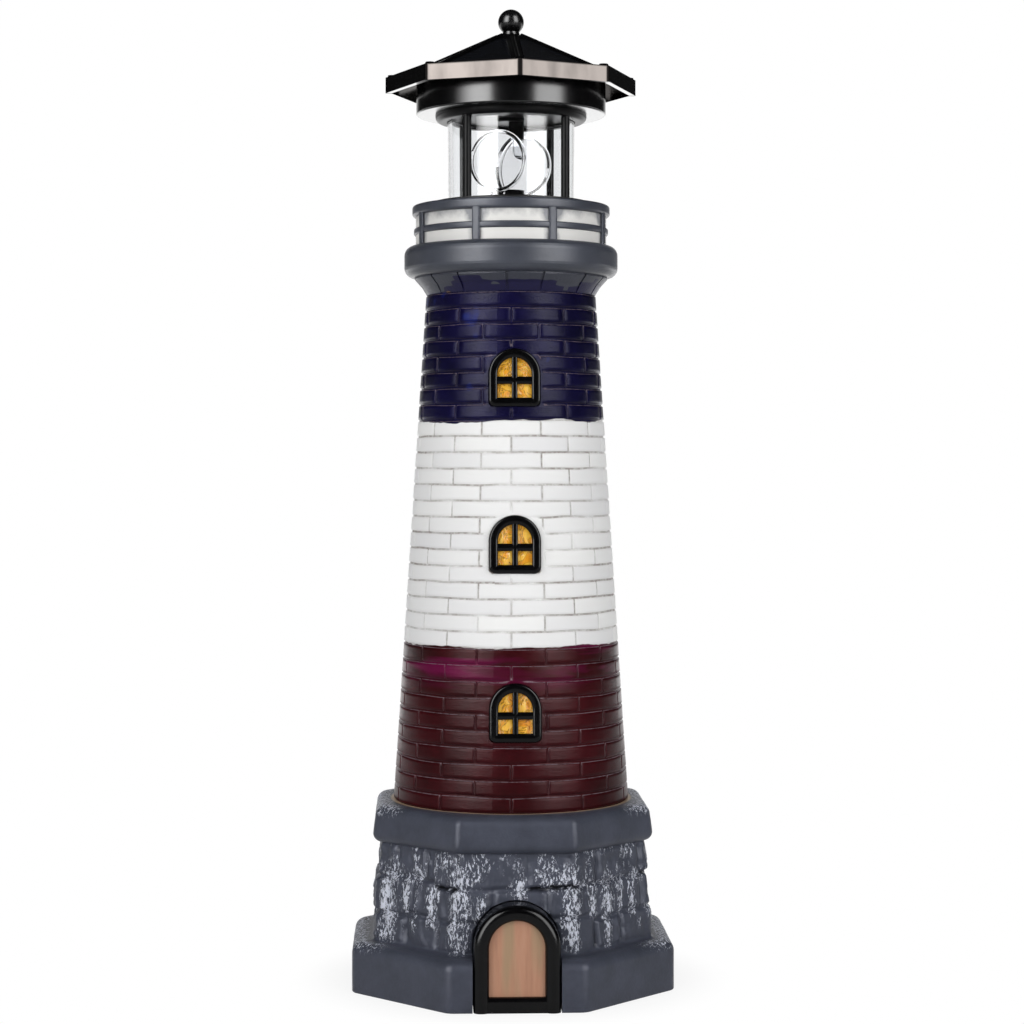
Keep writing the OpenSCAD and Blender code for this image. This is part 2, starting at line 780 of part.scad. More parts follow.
// A round wire along a list of points: each straight runs on past its bends by a radius
module wire_along(points) {
  last = len(points) - 2;
  for (i = [0:last]) {
    run = points[i + 1] - points[i];
    flat = norm([run[0], run[1]]);
    before = i > 0 ? wire_d / 2 : 0;
    after = i < last ? wire_d / 2 : 0;
    translate(points[i]) rotate([0, 0, atan2(run[1], run[0])]) rotate([0, atan2(flat, run[2]), 0])
      translate([0, 0, -before]) cylinder(d = wire_d, h = before + norm(run) + after, $fn = 8);
  }
}

// From the motor, up inside a post and across to the circuit board
module wire(post, low, high) {
  up = [post_place(post)];
  wire_along(concat(
    lift(low, wire_low_z), lift(up, wire_low_z), lift(up, wire_high_z), lift(high, wire_high_z)));
}

module motor_wires() {
  color("#a02020") wire(0, red_wire_low, red_wire_high);
  color("#202020") wire(1, black_wire_low, black_wire_high);
}

// ---------- Lantern ----------

module glass_chimney() {
  foot = glass_foot_d / 2;
  top = glass_top_d / 2;
  color("#dfe6ea", 0.4) rotate_extrude() polygon([
    [foot - glass_t, glass_z], [foot, glass_z], [top, glass_end], [top - glass_t, glass_end]]);
}

module lantern_posts() {
  foot = lamp_z - post_seat;
  color("#161719") at_posts() translate([0, 0, foot]) difference() {
    cylinder(d = post_d, h = collar_z + post_seat - foot, $fn = 48);
    translate([0, 0, -past]) cylinder(d = post_bore, h = lantern_h + 4 * past, $fn = 32);
  }
}

module chimney_collar() {
  skirt_r = glass_top_d / 2 - glass_t - glass_gap - 0.1;
  hole_r = skirt_r - skirt_t;
  color("#141517") difference() {
    union() {
      translate([0, 0, collar_z]) rotate_extrude() polygon(concat(
        [[hole_r, 0]],
        arc(collar_d / 2 - collar_round, collar_round, collar_round, -90, 0, 6),
        [[collar_d / 2, collar_h], [hole_r, collar_h]]));
      translate([0, 0, collar_z - skirt_h]) ring(skirt_r, hole_r, skirt_h + 0.5);
    }
    glass_groove(collar_z - past, glass_top_d / 2 - glass_t / 2, glass_seat + past);
    at_posts() translate([0, 0, collar_z - past]) cylinder(d = post_d + 2 * glass_gap, h = post_seat + past);
    at_posts() translate([0, 0, collar_z]) cylinder(d = post_bore, h = collar_h + past);
  }
}

module led_holder() {
  color("#121315") translate([0, 0, collar_z - holder_h]) cylinder(d = holder_d, h = holder_h + collar_h);
}

module led() {
  color("#e8eef2", 0.6) translate([led_offset, 0, collar_z - holder_h]) mirror([0, 0, 1]) {
    cylinder(d = led_d + 0.7, h = 1, $fn = 48);
    cylinder(d = led_d, h = led_h - led_d / 2, $fn = 48);
    translate([0, 0, led_h - led_d / 2]) sphere(d = led_d, $fn = 48);
  }
}

// ---------- Housing ----------

knob_r = (drum_d / 2 - drum_wall + collar_d / 2) / 2;
switch_t = 4.2;
switch_front = 1.3;

module drum_housing() {
  r = drum_d / 2;
  color("#17181a") difference() {
    translate([0, 0, drum_z]) rotate_extrude() polygon(concat(
      [[0, 0]],
      arc(r - 0.6, 0.6, 0.6, -90, 0, 4),
      [[r, drum_h], [r - drum_wall, drum_h], [r - drum_wall, drum_floor], [0, drum_floor]]));
    at_posts() translate([0, 0, drum_z - past]) cylinder(d = post_bore, h = drum_floor + 2 * past);
    facing(180) translate([-knob_w / 2 - switch_travel - 0.4, -knob_r - 1.2, drum_z - past])
      cube([knob_w + switch_travel + 0.8, 2.4, drum_floor + 2 * past]);
  }
}

// Holder: thickness of its floor and ends, room at the cell's ends, and the cell's button
holder_wall = 1.2;
contact_room = 1.8;
button_d = battery_d / 2 + 0.2;
button_h = 1;
battery_y = -battery_back;
battery_z = drum_z + drum_floor + holder_wall;

module battery_holder() {
  w = battery_d + 2.5 * holder_wall;
  l = battery_l + 2 * (contact_room + holder_wall);
  h = battery_d / 2 + 1;
  color("#202124") translate([-l / 2, battery_y - w / 2, battery_z - holder_wall]) difference() {
    cube([l, w, h]);
    translate([holder_wall, w / 2, holder_wall + battery_d / 2]) rotate([0, 90, 0])
      cylinder(d = battery_d + 0.2, h = l - 2 * holder_wall);
  }
}

module rechargeable_cell() {
  color("#3f8a4a") translate([-battery_l / 2, battery_y, battery_z + battery_d / 2]) rotate([0, 90, 0]) {
    cylinder(d = battery_d, h = battery_l - button_h);
    cylinder(d = button_d, h = battery_l);
  }
}

// A flat contact at one end and a closed ring of spring wire at the other
module battery_contacts() {
  z = battery_z + battery_d / 2;
  end = battery_l / 2;
  t = contact_room - 0.1;
  plate_w = battery_d * 2 / 3;
  spring_r = battery_d * 0.29;
  color("#b0b3b6") {
    translate([end, battery_y - plate_w / 2, z - plate_w * 0.57]) cube([t, plate_w, plate_w * 0.86]);
    translate([-end - t, battery_y, z]) rotate([0, 90, 0]) ring(spring_r, spring_r - wire_d * 0.7, t - 0.1);
  }
}

// Circuit board: outline, thickness and front edge, and the pegs that it stands on
board_w = 30;
board_l = 17;
board_t = 1.6;
board_y = 4;
peg_d = 3;
peg_h = 2;
// Parts on the board: the control chip, the round capacitor and a diode
chip = [6, 5, 1.8];
capacitor_d = 5;
capacitor_h = 6;
diode = [4, 3, 1.4];

module circuit_board() {
  color("#2f6a3c") translate([-board_w / 2, board_y, drum_z + drum_floor + peg_h]) {
    cube([board_w, board_l, board_t]);
    for (x = [peg_d, board_w - peg_d]) {
      for (y = [peg_d, board_l - peg_d]) {
        translate([x, y, -peg_h]) cylinder(d = peg_d, h = peg_h + board_t / 2, $fn = 32);
      }
    }
  }
  color("#26272a") translate([-board_w / 2, board_y, drum_z + drum_floor + peg_h + board_t]) {
    translate([board_w / 6, board_l * 0.3, -0.1]) cube(chip);
    translate([board_w * 0.6, board_l * 0.35, -0.1]) cylinder(d = capacitor_d, h = capacitor_h, $fn = 32);
    translate([board_w * 0.8, board_l * 0.65, -0.1]) cube(diode);
  }
}

module switch_case() {
  w = knob_w + switch_travel + 4;
  z = drum_z + drum_floor;
  color("#8f9296") facing(180)
    translate([-w / 2 - switch_travel / 2, -knob_r - switch_front, z + 0.6]) cube([w, switch_t, 4]);
  color("#8f9296") facing(180) for (x = [-w / 2, w / 2 - 0.8]) {
    translate([x - switch_travel / 2, -knob_r - switch_front, z]) cube([0.8, switch_t, 1]);
  }
}

module switch_knob() {
  z = drum_z + drum_floor + 0.3;
  color("#2a2b2e") facing(180) translate([-knob_w / 2, -knob_r - 0.9, 0]) {
    translate([0, 0, drum_z - 1]) cube([knob_w, 1.8, z - drum_z + 1]);
  }
}

// ---------- Roof ----------

// Moves its children to the middle of a roof face, lying in it, +Y up the slope
module on_face(i) {
  foot = rim_r * cos(half_side);
  facing(roof_turn + (i + 0.5) * 360 / sides) translate([0, -foot, rim_z]) rotate([face_tilt, 0, 0])
    children();
}

// Outline of a solar cell: the face drawn in by the margin on each side
module cell_outline(grow = 0) {
  half_foot = rim_r * sin(half_side);
  length = (rim_r - apex_r) * cos(half_side) / cos(face_tilt);
  half_top = apex_r * sin(half_side);
  draw = cell_margin - grow;
  edge = atan((half_foot - half_top) / length);
  foot_x = half_foot - draw * (tan(edge) + 1 / cos(edge));
  top_y = length * 0.8 + grow;
  top_x = half_foot - draw / cos(edge) - top_y * tan(edge);
  polygon([[-foot_x, draw], [foot_x, draw], [top_x, top_y], [-top_x, top_y]]);
}

// The cells lie a little proud of the roof. The hollow under them leaves this much more than
// the shell's thickness, and its sides are steeper than the roof by this share.
cell_proud = 0.2;
cavity_skin = 1.5;
cavity_lean = 0.9;

module roof_cap() {
  inner_r = drum_d / 2 - drum_wall;
  cavity_top = apex_z - roof_t - cell_t - cavity_skin;
  cavity_rise = cavity_top - soffit_z;
  cavity_foot = min(inner_r, rim_r - (roof_t + cell_t + cavity_skin + soffit_z - rim_z) / hip_slope);
  color("#121315") difference() {
    union() {
      octagonal_turned([
        [0, soffit_z], [roof_r - roof_t, soffit_z], [roof_r - roof_t, fascia_z],
        [roof_r, fascia_z], [roof_r, rim_z], [rim_r, rim_z], [apex_r, apex_z], [0, apex_z]]);
      for (i = [0:sides - 1]) {
        facing(roof_turn + i * 360 / sides) {
          hip_rib();
          corner_tip();
        }
      }
    }
    octagonal_turned([
      [0, soffit_z - past], [cavity_foot, soffit_z - past], [cavity_foot, soffit_z],
      [cavity_foot - cavity_rise / hip_slope * cavity_lean, cavity_top], [0, cavity_top]]);
    for (i = [0:sides - 1]) {
      on_face(i) translate([0, 0, -cell_t + cell_proud]) linear_extrude(cell_t + past) cell_outline(0.1);
    }
  }
}

// An octagonal body with a corner facing the front
module octagonal_turned(profile) {
  rotate([0, 0, 90 + roof_turn]) rotate_extrude($fn = sides) polygon(profile);
}

module hip_rib() {
  length = (rim_r - apex_r) / cos(hip_tilt);
  translate([0, -rim_r, rim_z]) rotate([hip_tilt - 90, 0, 0])
    cylinder(d = rib_d, h = length - rib_d, $fn = 24);
}

module corner_tip() {
  translate([0, -roof_r + tip_w / 2, rim_z - 1]) intersection() {
    cylinder(d1 = tip_w, d2 = tip_w * 0.64, h = tip_h + 1, $fn = 24);
    translate([0, tip_w * 0.08, tip_h]) cube([tip_w * 0.9, tip_w * 0.8, 4 * tip_h + 2], center = true);
  }
}

module solar_cell(i) {
  color("#10141f") on_face(i) translate([0, 0, -cell_t + cell_proud]) linear_extrude(cell_t) cell_outline();
}

module solar_cell_1() { solar_cell(0); }
module solar_cell_2() { solar_cell(1); }
module solar_cell_3() { solar_cell(2); }
module solar_cell_4() { solar_cell(3); }
module solar_cell_5() { solar_cell(4); }
module solar_cell_6() { solar_cell(5); }
module solar_cell_7() { solar_cell(6); }
module solar_cell_8() { solar_cell(7); }

// The ball stands in a short neck on the pyramid's flat top
module ball_finial() {
  neck_r = apex_r - 0.3;
  neck_h = 1.4;
  centre = apex_z + ball_d / 2;
  color("#0e0f11") difference() {
    union() {
      translate([0, 0, apex_z]) cylinder(r1 = neck_r, r2 = neck_r - 0.4, h = neck_h);
      translate([0, 0, centre]) sphere(d = ball_d);
    }
    translate([0, 0, apex_z - ball_d]) cylinder(d = ball_d, h = ball_d);
  }
}

// ---------- Beacon ----------

module turntable() {
  color("#141517") translate([0, 0, turntable_z]) difference() {
    union() {
      cylinder(d = turntable_d, h = turntable_t);
      cylinder(d = hub_d, h = turntable_t + hub_h);
    }
    translate([0, 0, -past]) cylinder(d = spindle_d, h = turntable_t + hub_h);
    facing(beam_turn) for (side = [0, 180]) {
      rotate([0, 0, side]) translate([-lens_foot_w / 2 - 0.1, -lens_reach - lens_rim - 0.1, -past])
        cube([lens_foot_w + 0.2, lens_rim + 0.2, turntable_t + 2 * past]);
    }
  }
}

// A bull's-eye lens: flat back, bulging front, and a foot that plugs into the turntable
module lens(side) {
  r = lens_d / 2;
  bulge_r = (r * r * 0.8 + lens_bulge * lens_bulge) / (2 * lens_bulge);
  eye = r * sqrt(0.8);
  bulge_a = asin(eye / bulge_r);
  color("#e6edf2", 0.4) facing(beam_turn + side) {
    translate([0, -lens_reach, lens_z]) rotate([90, 0, 0]) rotate_extrude() polygon(concat(
      [[0, 0], [r, 0], [r, lens_rim]],
      [for (i = [0:5]) let (a = bulge_a * (1 - i / 5))
        [bulge_r * sin(a), lens_rim - bulge_r * cos(bulge_a) + bulge_r * cos(a)]]));
    translate([-lens_foot_w / 2, -lens_reach - lens_rim, turntable_z])
      cube([lens_foot_w, lens_rim, lens_bottom - turntable_z + 1.6]);
  }
}

module lens_front() { lens(0); }
module lens_rear() { lens(180); }

module spindle() {
  foot = gallery_z + bearing_floor + 0.1;
  color("#b4b6b9") translate([0, 0, foot])
    cylinder(d = spindle_d, h = turntable_z + turntable_t + hub_h - past - foot);
}

// Half angle that a tooth takes at a radius, from the involute of the base circle
function involute_a(r, base) = (sqrt(max(r * r - base * base, 0)) / base) * 180 / PI - acos(min(1, base / r));

// One tooth's outline, in order, on a gear of n teeth
function tooth_points(n, i, m, play) = let (
    pitch = m * n / 2,
    base = pitch * cos(20),
    root = pitch - 1.2 * m,
    tip = pitch + 0.95 * m,
    low = max(root, base),
    thick = 90 / n - play / pitch * 90 / PI + involute_a(pitch, base),
    mid = i * 360 / n,
    steps = 4)
  concat(
    [[root, mid - thick]],
    [for (k = [0:steps]) let (r = low + (tip - low) * k / steps) [r, mid - thick + involute_a(r, base)]],
    [for (k = [steps:-1:0]) let (r = low + (tip - low) * k / steps) [r, mid + thick - involute_a(r, base)]],
    [[root, mid + thick]]);

module gear_outline(n, m, play) {
  polygon([for (i = [0:n - 1]) for (p = tooth_points(n, i, m, play)) [p[0] * sin(p[1]), -p[0] * cos(p[1])]]);
}

module drive_gear() {
  color("#e8e4d8") translate([0, 0, gear_z]) difference() {
    union() {
      facing(motor_turn) linear_extrude(gear_t) gear_outline(gear_teeth, gear_module, gear_play / 2);
      translate([0, 0, -gear_hub_h]) cylinder(d = bearing_d, h = gear_t + gear_hub_h);
    }
    translate([0, 0, -gear_hub_h - past]) cylinder(d = spindle_d, h = gear_t + gear_hub_h + 2 * past);
  }
}

module motor_shaft() {
  foot = cover_z + shaft_floor + 0.3;
  color("#b4b6b9") facing(motor_turn) translate([0, -gear_distance, foot])
    cylinder(d = shaft_d, h = gear_z + gear_t - foot);
}

module motor_pinion() {
  // The pinion's tooth gap faces the gear's tooth
  mesh = 180 + 180 / pinion_teeth;
  color("#e8e4d8") facing(motor_turn) translate([0, -gear_distance, gear_z]) difference() {
    rotate([0, 0, mesh]) linear_extrude(gear_t) gear_outline(pinion_teeth, gear_module, gear_play / 2);
    translate([0, 0, -past]) cylinder(d = shaft_d, h = gear_t + 2 * past);
  }
}

plinth();
door_frame();
door_panel();
tower_shell();
window_frame_lower();
window_frame_middle();
window_frame_upper();
window_pane_lower();
window_pane_middle();
window_pane_upper();
corbel_ring();
gallery_deck();
parapet_wall();
gallery_railing();
lamp_base();
lamp_base_cover();
cover_screws();
motor_case();
motor_wires();
glass_chimney();
lantern_posts();
chimney_collar();
led_holder();
led();
drum_housing();
battery_holder();
rechargeable_cell();
battery_contacts();
circuit_board();
switch_case();
roof_cap();
ball_finial();
solar_cell_1();
solar_cell_2();
solar_cell_3();
solar_cell_4();
solar_cell_5();
solar_cell_6();
solar_cell_7();
solar_cell_8();
turntable();
lens_front();
lens_rear();
spindle();
drive_gear();
motor_shaft();
motor_pinion();
switch_knob();
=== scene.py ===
import math

import bmesh
import bpy
import numpy as np
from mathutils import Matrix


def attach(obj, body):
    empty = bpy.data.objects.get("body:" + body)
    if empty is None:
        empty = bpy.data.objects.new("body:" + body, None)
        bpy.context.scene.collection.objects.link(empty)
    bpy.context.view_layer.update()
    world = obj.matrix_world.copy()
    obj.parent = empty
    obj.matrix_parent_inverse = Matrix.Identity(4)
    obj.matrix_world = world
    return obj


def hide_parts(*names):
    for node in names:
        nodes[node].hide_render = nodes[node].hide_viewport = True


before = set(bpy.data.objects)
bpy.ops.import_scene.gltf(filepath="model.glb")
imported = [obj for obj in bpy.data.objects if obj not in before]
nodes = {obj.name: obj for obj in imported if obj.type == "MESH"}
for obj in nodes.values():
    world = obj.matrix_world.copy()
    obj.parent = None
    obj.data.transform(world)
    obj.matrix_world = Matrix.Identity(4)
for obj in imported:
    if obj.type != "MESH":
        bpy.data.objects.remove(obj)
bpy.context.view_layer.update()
mm = 0.001
draws = np.random.default_rng(7)  # every random choice comes from this one seed

# Heights and widths of the stacked pieces in mm, as the CAD has them
build = {
    "slabH": 18.5, "slabAcross": 118.4, "slabRound": 4.0,
    "wallTop": 54.5, "wallFoot": 102.0, "wallHead": 96.5,
    "capAcross": 103.0, "capRound": 4.0, "capFootRound": 3.2, "towerZ": 68.0,
    "towerFootR": 44.2, "towerTopR": 32.0, "courseH": 5.9, "courses": 32,
    "corbelZ": 256.8, "galleryZ": 275.3, "collarZ": 322.2,
}
build["towerH"] = build["courseH"] * build["courses"]
build["slope"] = (build["towerFootR"] - build["towerTopR"]) / build["towerH"]


def linear(text):  # sRGB hex to linear light: c / 12.92 near black, else ((c + 0.055) / 1.055) ^ 2.4
    parts = [int(text[i:i + 2], 16) / 255 for i in (1, 3, 5)]
    return tuple(c / 12.92 if c <= 0.04045 else ((c + 0.055) / 1.055) ** 2.4 for c in parts) + (1.0,)


def every(size):  # a pattern's scale from the real size in mm of one of its swings
    return 1 / (size * mm)


def fillInputs(made, inputs):  # gives a node its inputs: each is a value, or a socket to be linked from
    for key, value in inputs.items():
        if isinstance(value, bpy.types.NodeSocket):
            made.id_data.links.new(value, made.inputs[key])
        else:
            made.inputs[key].default_value = value


def addNode(tree, kind, inputs=None, stops=(), **settings):
    # one node: inputs are values or sockets, stops are a ramp's (place, colour), settings are its own fields
    made = tree.nodes.new("ShaderNode" + kind)
    for key, value in settings.items():
        setattr(made, key, value)
    fillInputs(made, inputs or {})
    for k, (place, colour) in enumerate(stops):
        elements = made.color_ramp.elements
        element = elements[k] if k < len(elements) else elements.new(1.0)
        element.position, element.color = place, colour
    return made


def startMaterial(name):
    # an empty material: its tree, its shader wired to the output, and the place on the object
    made = bpy.data.materials.new(name)
    made.use_nodes = True
    tree = made.node_tree
    tree.nodes.clear()
    shader = addNode(tree, "BsdfPrincipled")
    addNode(tree, "OutputMaterial", {"Surface": shader.outputs[0]})
    return made, tree, shader, addNode(tree, "TexCoord").outputs["Object"]


def smooth(low, high, x):  # the ease from 0 at low to 1 at high: t * t * (3 - 2 t)
    t = np.clip((x - low) / (high - low), 0, 1)
    return t * t * (3 - 2 * t)


def gridFaces(rows, cols, closeRows=False):
    # the quads between neighbouring rows and columns; the columns always close to a ring
    r, c = np.meshgrid(np.arange(rows if closeRows else rows - 1), np.arange(cols), indexing="ij")
    nextR, nextC = (r + 1) % rows, (c + 1) % cols
    quads = [r * cols + c, r * cols + nextC, nextR * cols + nextC, nextR * cols + c]
    return np.stack(quads, -1).reshape(-1, 4)


def addObject(name, data):  # an object with this data, in the scene
    made = bpy.data.objects.new(name, data)
    bpy.context.scene.collection.objects.link(made)
    return made


def turnOutward(mesh, mergeAt=None):  # merges points closer than mergeAt metres and turns every face outward
    shape = bmesh.new()
    shape.from_mesh(mesh)
    if mergeAt is not None:
        bmesh.ops.remove_doubles(shape, verts=shape.verts, dist=mergeAt)
    bmesh.ops.recalc_face_normals(shape, faces=shape.faces)
    shape.to_mesh(mesh)
    shape.free()


def shadeSoft(mesh, sharp=None):  # smooth shading, but not over edges sharper than an angle in degrees
    mesh.polygons.foreach_set("use_smooth", [True] * len(mesh.polygons))
    if sharp is not None:
        mesh.set_sharp_from_angle(angle=math.radians(sharp))


def makePiece(name, parts, material, body, replaced, fields=None, mergeAt=1e-6, sharp=None):
    # joins (points in mm, faces) parts into one object at the origin, merges seams and poles, and rides it
    allPoints, allFaces, start = [], [], 0
    for points, faces in parts:
        points = np.asarray(points, float).reshape(-1, 3)
        allPoints.append(points)
        allFaces += [[int(i) + start for i in face] for face in faces]
        start += len(points)
    mesh = bpy.data.meshes.new(name)
    mesh.from_pydata((np.concatenate(allPoints) * mm).tolist(), [], allFaces)
    for key, values in (fields or {}).items():
        flat = np.ravel(values).astype(np.float32)
        mesh.attributes.new(key, "FLOAT", "POINT").data.foreach_set("value", flat)
    turnOutward(mesh, mergeAt)
    shadeSoft(mesh, sharp)
    mesh.materials.append(material)
    made = addObject(name, mesh)
    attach(made, body)
    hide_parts(*replaced)
    return made


def dress(material, *names):  # gives carried-over CAD nodes their finish
    for name in names:
        data = nodes[name].data
        data.materials.clear()
        data.materials.append(material)


def arcPoints(cx, cz, radius, a0, a1, steps):  # an arc round (cx, cz): centre + radius * (cos a, sin a)
    a = np.radians(np.linspace(a0, a1, steps + 1))
    return np.stack([cx + radius * np.cos(a), cz + radius * np.sin(a)], -1)


def turned(profile, cols):  # profile of (radius, z) turned round Z: (r sin t, -r cos t, z)
    profile = np.asarray(profile, float)
    t = np.arange(cols) * 2 * np.pi / cols
    points = np.stack([profile[:, :1] * np.sin(t), -profile[:, :1] * np.cos(t),
                       np.repeat(profile[:, 1:], cols, 1)], -1)
    return points, gridFaces(len(profile), cols, closeRows=True)


def carried(path, section, outward, closed=False):
    # a section of (side, out) carried along a path: point + side * (tangent x out) + out * outward; open
    # ends are capped
    path = np.asarray(path, float)
    out = np.asarray(outward, float)
    if closed:
        tangent = np.roll(path, -1, 0) - np.roll(path, 1, 0)
    else:
        tangent = np.gradient(path, axis=0)
    side = np.cross(tangent, out)
    side /= np.linalg.norm(side, axis=1)[:, None]
    points = path[:, None] + section[None, :, :1] * side[:, None] + section[None, :, 1:] * out
    faces = gridFaces(len(path), len(section), closeRows=closed).tolist()
    if not closed:
        last = (len(path) - 1) * len(section)
        faces += [list(range(len(section))), [last + i for i in range(len(section))]]
    return points, faces


def softBar(width, low, high, power, steps=20):
    # a superellipse as a section: half width * |cos|^power across, half height * |sin|^power out
    a = np.arange(steps) * 2 * np.pi / steps
    half, mid = (high - low) / 2, (high + low) / 2
    return np.stack([width / 2 * np.sign(np.cos(a)) * np.abs(np.cos(a)) ** power,
                     mid + half * np.sign(np.sin(a)) * np.abs(np.sin(a)) ** power], -1)


def archPath(radius, spring, foot, steps, cornerR=0.0):
    # up the left leg, round the arch and down the right leg, in (x, height); rounded foot corners close it
    # below
    arch = arcPoints(0, spring, radius, 180, 0, steps)
    legs = np.linspace(foot + cornerR, spring, 9)[:-1]
    left = np.stack([np.full(len(legs), -radius), legs], -1)
    right = np.stack([np.full(len(legs), radius), legs[::-1]], -1)
    points = [left, arch, right]
    if cornerR:
        points.append(arcPoints(radius - cornerR, foot + cornerR, cornerR, 0, -90, 6)[1:])
        points.append(np.stack([np.linspace(radius - cornerR, -radius + cornerR, 9)[1:-1],
                                np.full(7, foot)], -1))
        points.append(arcPoints(-radius + cornerR, foot + cornerR, cornerR, -90, -180, 6)[:-1])
    return np.concatenate(points)


def waves(x, y, scale, octaves=4, seed=0):
    # smooth value noise from summed sines: each octave adds eight waves of random direction at twice the
    # frequency
    own = np.random.default_rng(seed)
    total, weight = np.zeros(np.broadcast(x, y).shape), 1.0
    for octave in range(octaves):
        turn, phase = own.uniform(0, 2 * np.pi, 8), own.uniform(0, 2 * np.pi, 8)
        k = 2 * np.pi / scale * 2 ** octave * own.uniform(0.7, 1.3, 8)
        total += weight * sum(np.sin(k[i] * (np.cos(turn[i]) * x + np.sin(turn[i]) * y) + phase[i])
                              for i in range(8)) / 4
        weight *= 0.55
    return total


# The camera: degrees round the object, mm from its axis and above the ground, and the lens with its shift
view = {
    "turn": -2.2, "distance": 887.0, "height": 197.0,
    "lens": 82.6, "sensor": 36, "shiftX": 0.001, "shiftY": -0.056, "near": 0.01, "far": 100,
}


def setCamera():  # level, in front and a little to the left of the door
    data = bpy.data.cameras.new("camera")
    made = addObject("camera", data)
    t = math.radians(view["turn"])
    made.location = (view["distance"] * mm * math.sin(t), -view["distance"] * mm * math.cos(t),
                     view["height"] * mm)
    made.rotation_euler = (math.pi / 2, 0, t)
    data.lens, data.sensor_width = view["lens"], view["sensor"]
    data.shift_x, data.shift_y = view["shiftX"], view["shiftY"]
    data.clip_start, data.clip_end = view["near"], view["far"]
    bpy.context.scene.camera = made


# The room: angles in degrees round the object, 0 towards the camera, or upwards; lengths in m; and strengths
studio = {
    "fill": 0.36, "boxGlow": 14.0, "rightShare": 0.75, "boxEdge": 5.0, "backGlow": 1.0, "frontGlow": 0.02,
    "leftBox": (-58, -24), "leftSoft": 30.0, "rightBox": (29, 64), "rightSoft": 14.0,
    "boxLow": -25.0, "boxHigh": 48.0, "backFrom": 158.0, "backTop": 24.0, "seenFrom": 112.0, "seenGlow": 0.04,
    "lampPower": 9.2, "lampSize": 0.9, "lampTall": 1.4, "lampReach": 1.5, "lampTurn": 35, "lampHeight": 0.55,
    "aimHeight": 0.17,
}


def setWorld():
    # the camera, and clear glass where it looks backwards, see white, so that glass edges which bend the
    # view aside go dark; gloss sees a dark room in front, a white backdrop behind and two tall soft boxes
    world = bpy.data.worlds.new("studio")
    bpy.context.scene.world = world
    world.use_nodes = True
    tree = world.node_tree
    tree.nodes.clear()
    place = addNode(tree, "TexCoord").outputs["Generated"]
    split = addNode(tree, "SeparateXYZ", {0: place}).outputs
    towards = addNode(tree, "Math", {0: split[1], 1: -1.0}, operation="MULTIPLY").outputs[0]
    turn = addNode(tree, "Math", {0: split[0], 1: towards}, operation="ARCTAN2").outputs[0]
    degrees = addNode(tree, "Math", {0: turn, 1: 180 / math.pi}, operation="MULTIPLY").outputs[0]
    fromCamera = addNode(tree, "Math", {0: degrees, 1: view["turn"]}, operation="SUBTRACT").outputs[0]
    rise = addNode(tree, "Math", {0: split[2]}, operation="ARCSINE").outputs[0]
    riseDegrees = addNode(tree, "Math", {0: rise, 1: 180 / math.pi}, operation="MULTIPLY").outputs[0]
    edge = studio["boxEdge"]

    def within(value, low, high, lowEdge=edge, highEdge=edge):
        # 1 between low and high, eased over the width of each edge
        up = addNode(tree, "MapRange", {0: value, 1: low - lowEdge / 2, 2: low + lowEdge / 2},
                     interpolation_type="SMOOTHSTEP")
        down = addNode(tree, "MapRange",
                       {0: value, 1: high - highEdge / 2, 2: high + highEdge / 2, 3: 1.0, 4: 0.0},
                       interpolation_type="SMOOTHSTEP")
        return addNode(tree, "Math", {0: up.outputs[0], 1: down.outputs[0]}, operation="MULTIPLY").outputs[0]

    leftBox = within(fromCamera, *studio["leftBox"], lowEdge=studio["leftSoft"])
    rightBox = within(fromCamera, *studio["rightBox"], highEdge=studio["rightSoft"])
    boxes = addNode(tree, "Math", {0: rightBox, 1: studio["rightShare"], 2: leftBox},
                    operation="MULTIPLY_ADD").outputs[0]
    tall = within(riseDegrees, studio["boxLow"], studio["boxHigh"])
    glow = addNode(tree, "Math", {0: boxes, 1: tall}, operation="MULTIPLY").outputs[0]
    boxLight = addNode(tree, "Math", {0: glow, 1: studio["boxGlow"]}, operation="MULTIPLY").outputs[0]
    away = addNode(tree, "Math", {0: fromCamera}, operation="ABSOLUTE").outputs[0]
    back = addNode(tree, "MapRange", {0: away, 1: studio["backFrom"] - 8, 2: studio["backFrom"] + 8},
                   interpolation_type="SMOOTHSTEP").outputs[0]
    low = addNode(tree, "MapRange",
                  {0: riseDegrees, 1: studio["backTop"] - 6, 2: studio["backTop"] + 6, 3: 1.0, 4: 0.0},
                  interpolation_type="SMOOTHSTEP").outputs[0]
    backdrop = addNode(tree, "Math", {0: back, 1: low}, operation="MULTIPLY").outputs[0]
    behind = addNode(tree, "MapRange",
                     {0: backdrop, 3: studio["frontGlow"], 4: studio["backGlow"]}).outputs[0]
    glossLight = addNode(tree, "Math", {0: boxLight, 1: behind}, operation="ADD").outputs[0]
    path = addNode(tree, "LightPath").outputs
    seen = addNode(tree, "Math", {0: path["Is Camera Ray"], 1: path["Is Transmission Ray"]},
                   operation="MAXIMUM").outputs[0]
    behindGlass = addNode(tree, "MapRange", {0: away, 1: studio["seenFrom"] - 9, 2: studio["seenFrom"] + 9,
                                             3: studio["seenGlow"], 4: 1.0},
                          interpolation_type="SMOOTHSTEP").outputs[0]
    clearLight = addNode(tree, "Math", {0: behindGlass, 1: path["Is Camera Ray"]},
                         operation="MAXIMUM").outputs[0]
    fill = addNode(tree, "Background", {0: (1, 1, 1, 1), 1: studio["fill"]})
    gloss = addNode(tree, "Background", {0: (1, 1, 1, 1), 1: glossLight})
    white = addNode(tree, "Background", {0: (1, 1, 1, 1), 1: clearLight})
    first = addNode(tree, "MixShader", {0: path["Is Glossy Ray"], 1: fill.outputs[0], 2: gloss.outputs[0]})
    last = addNode(tree, "MixShader", {0: seen, 1: first.outputs[0], 2: white.outputs[0]})
    addNode(tree, "OutputWorld", {0: last.outputs[0]})


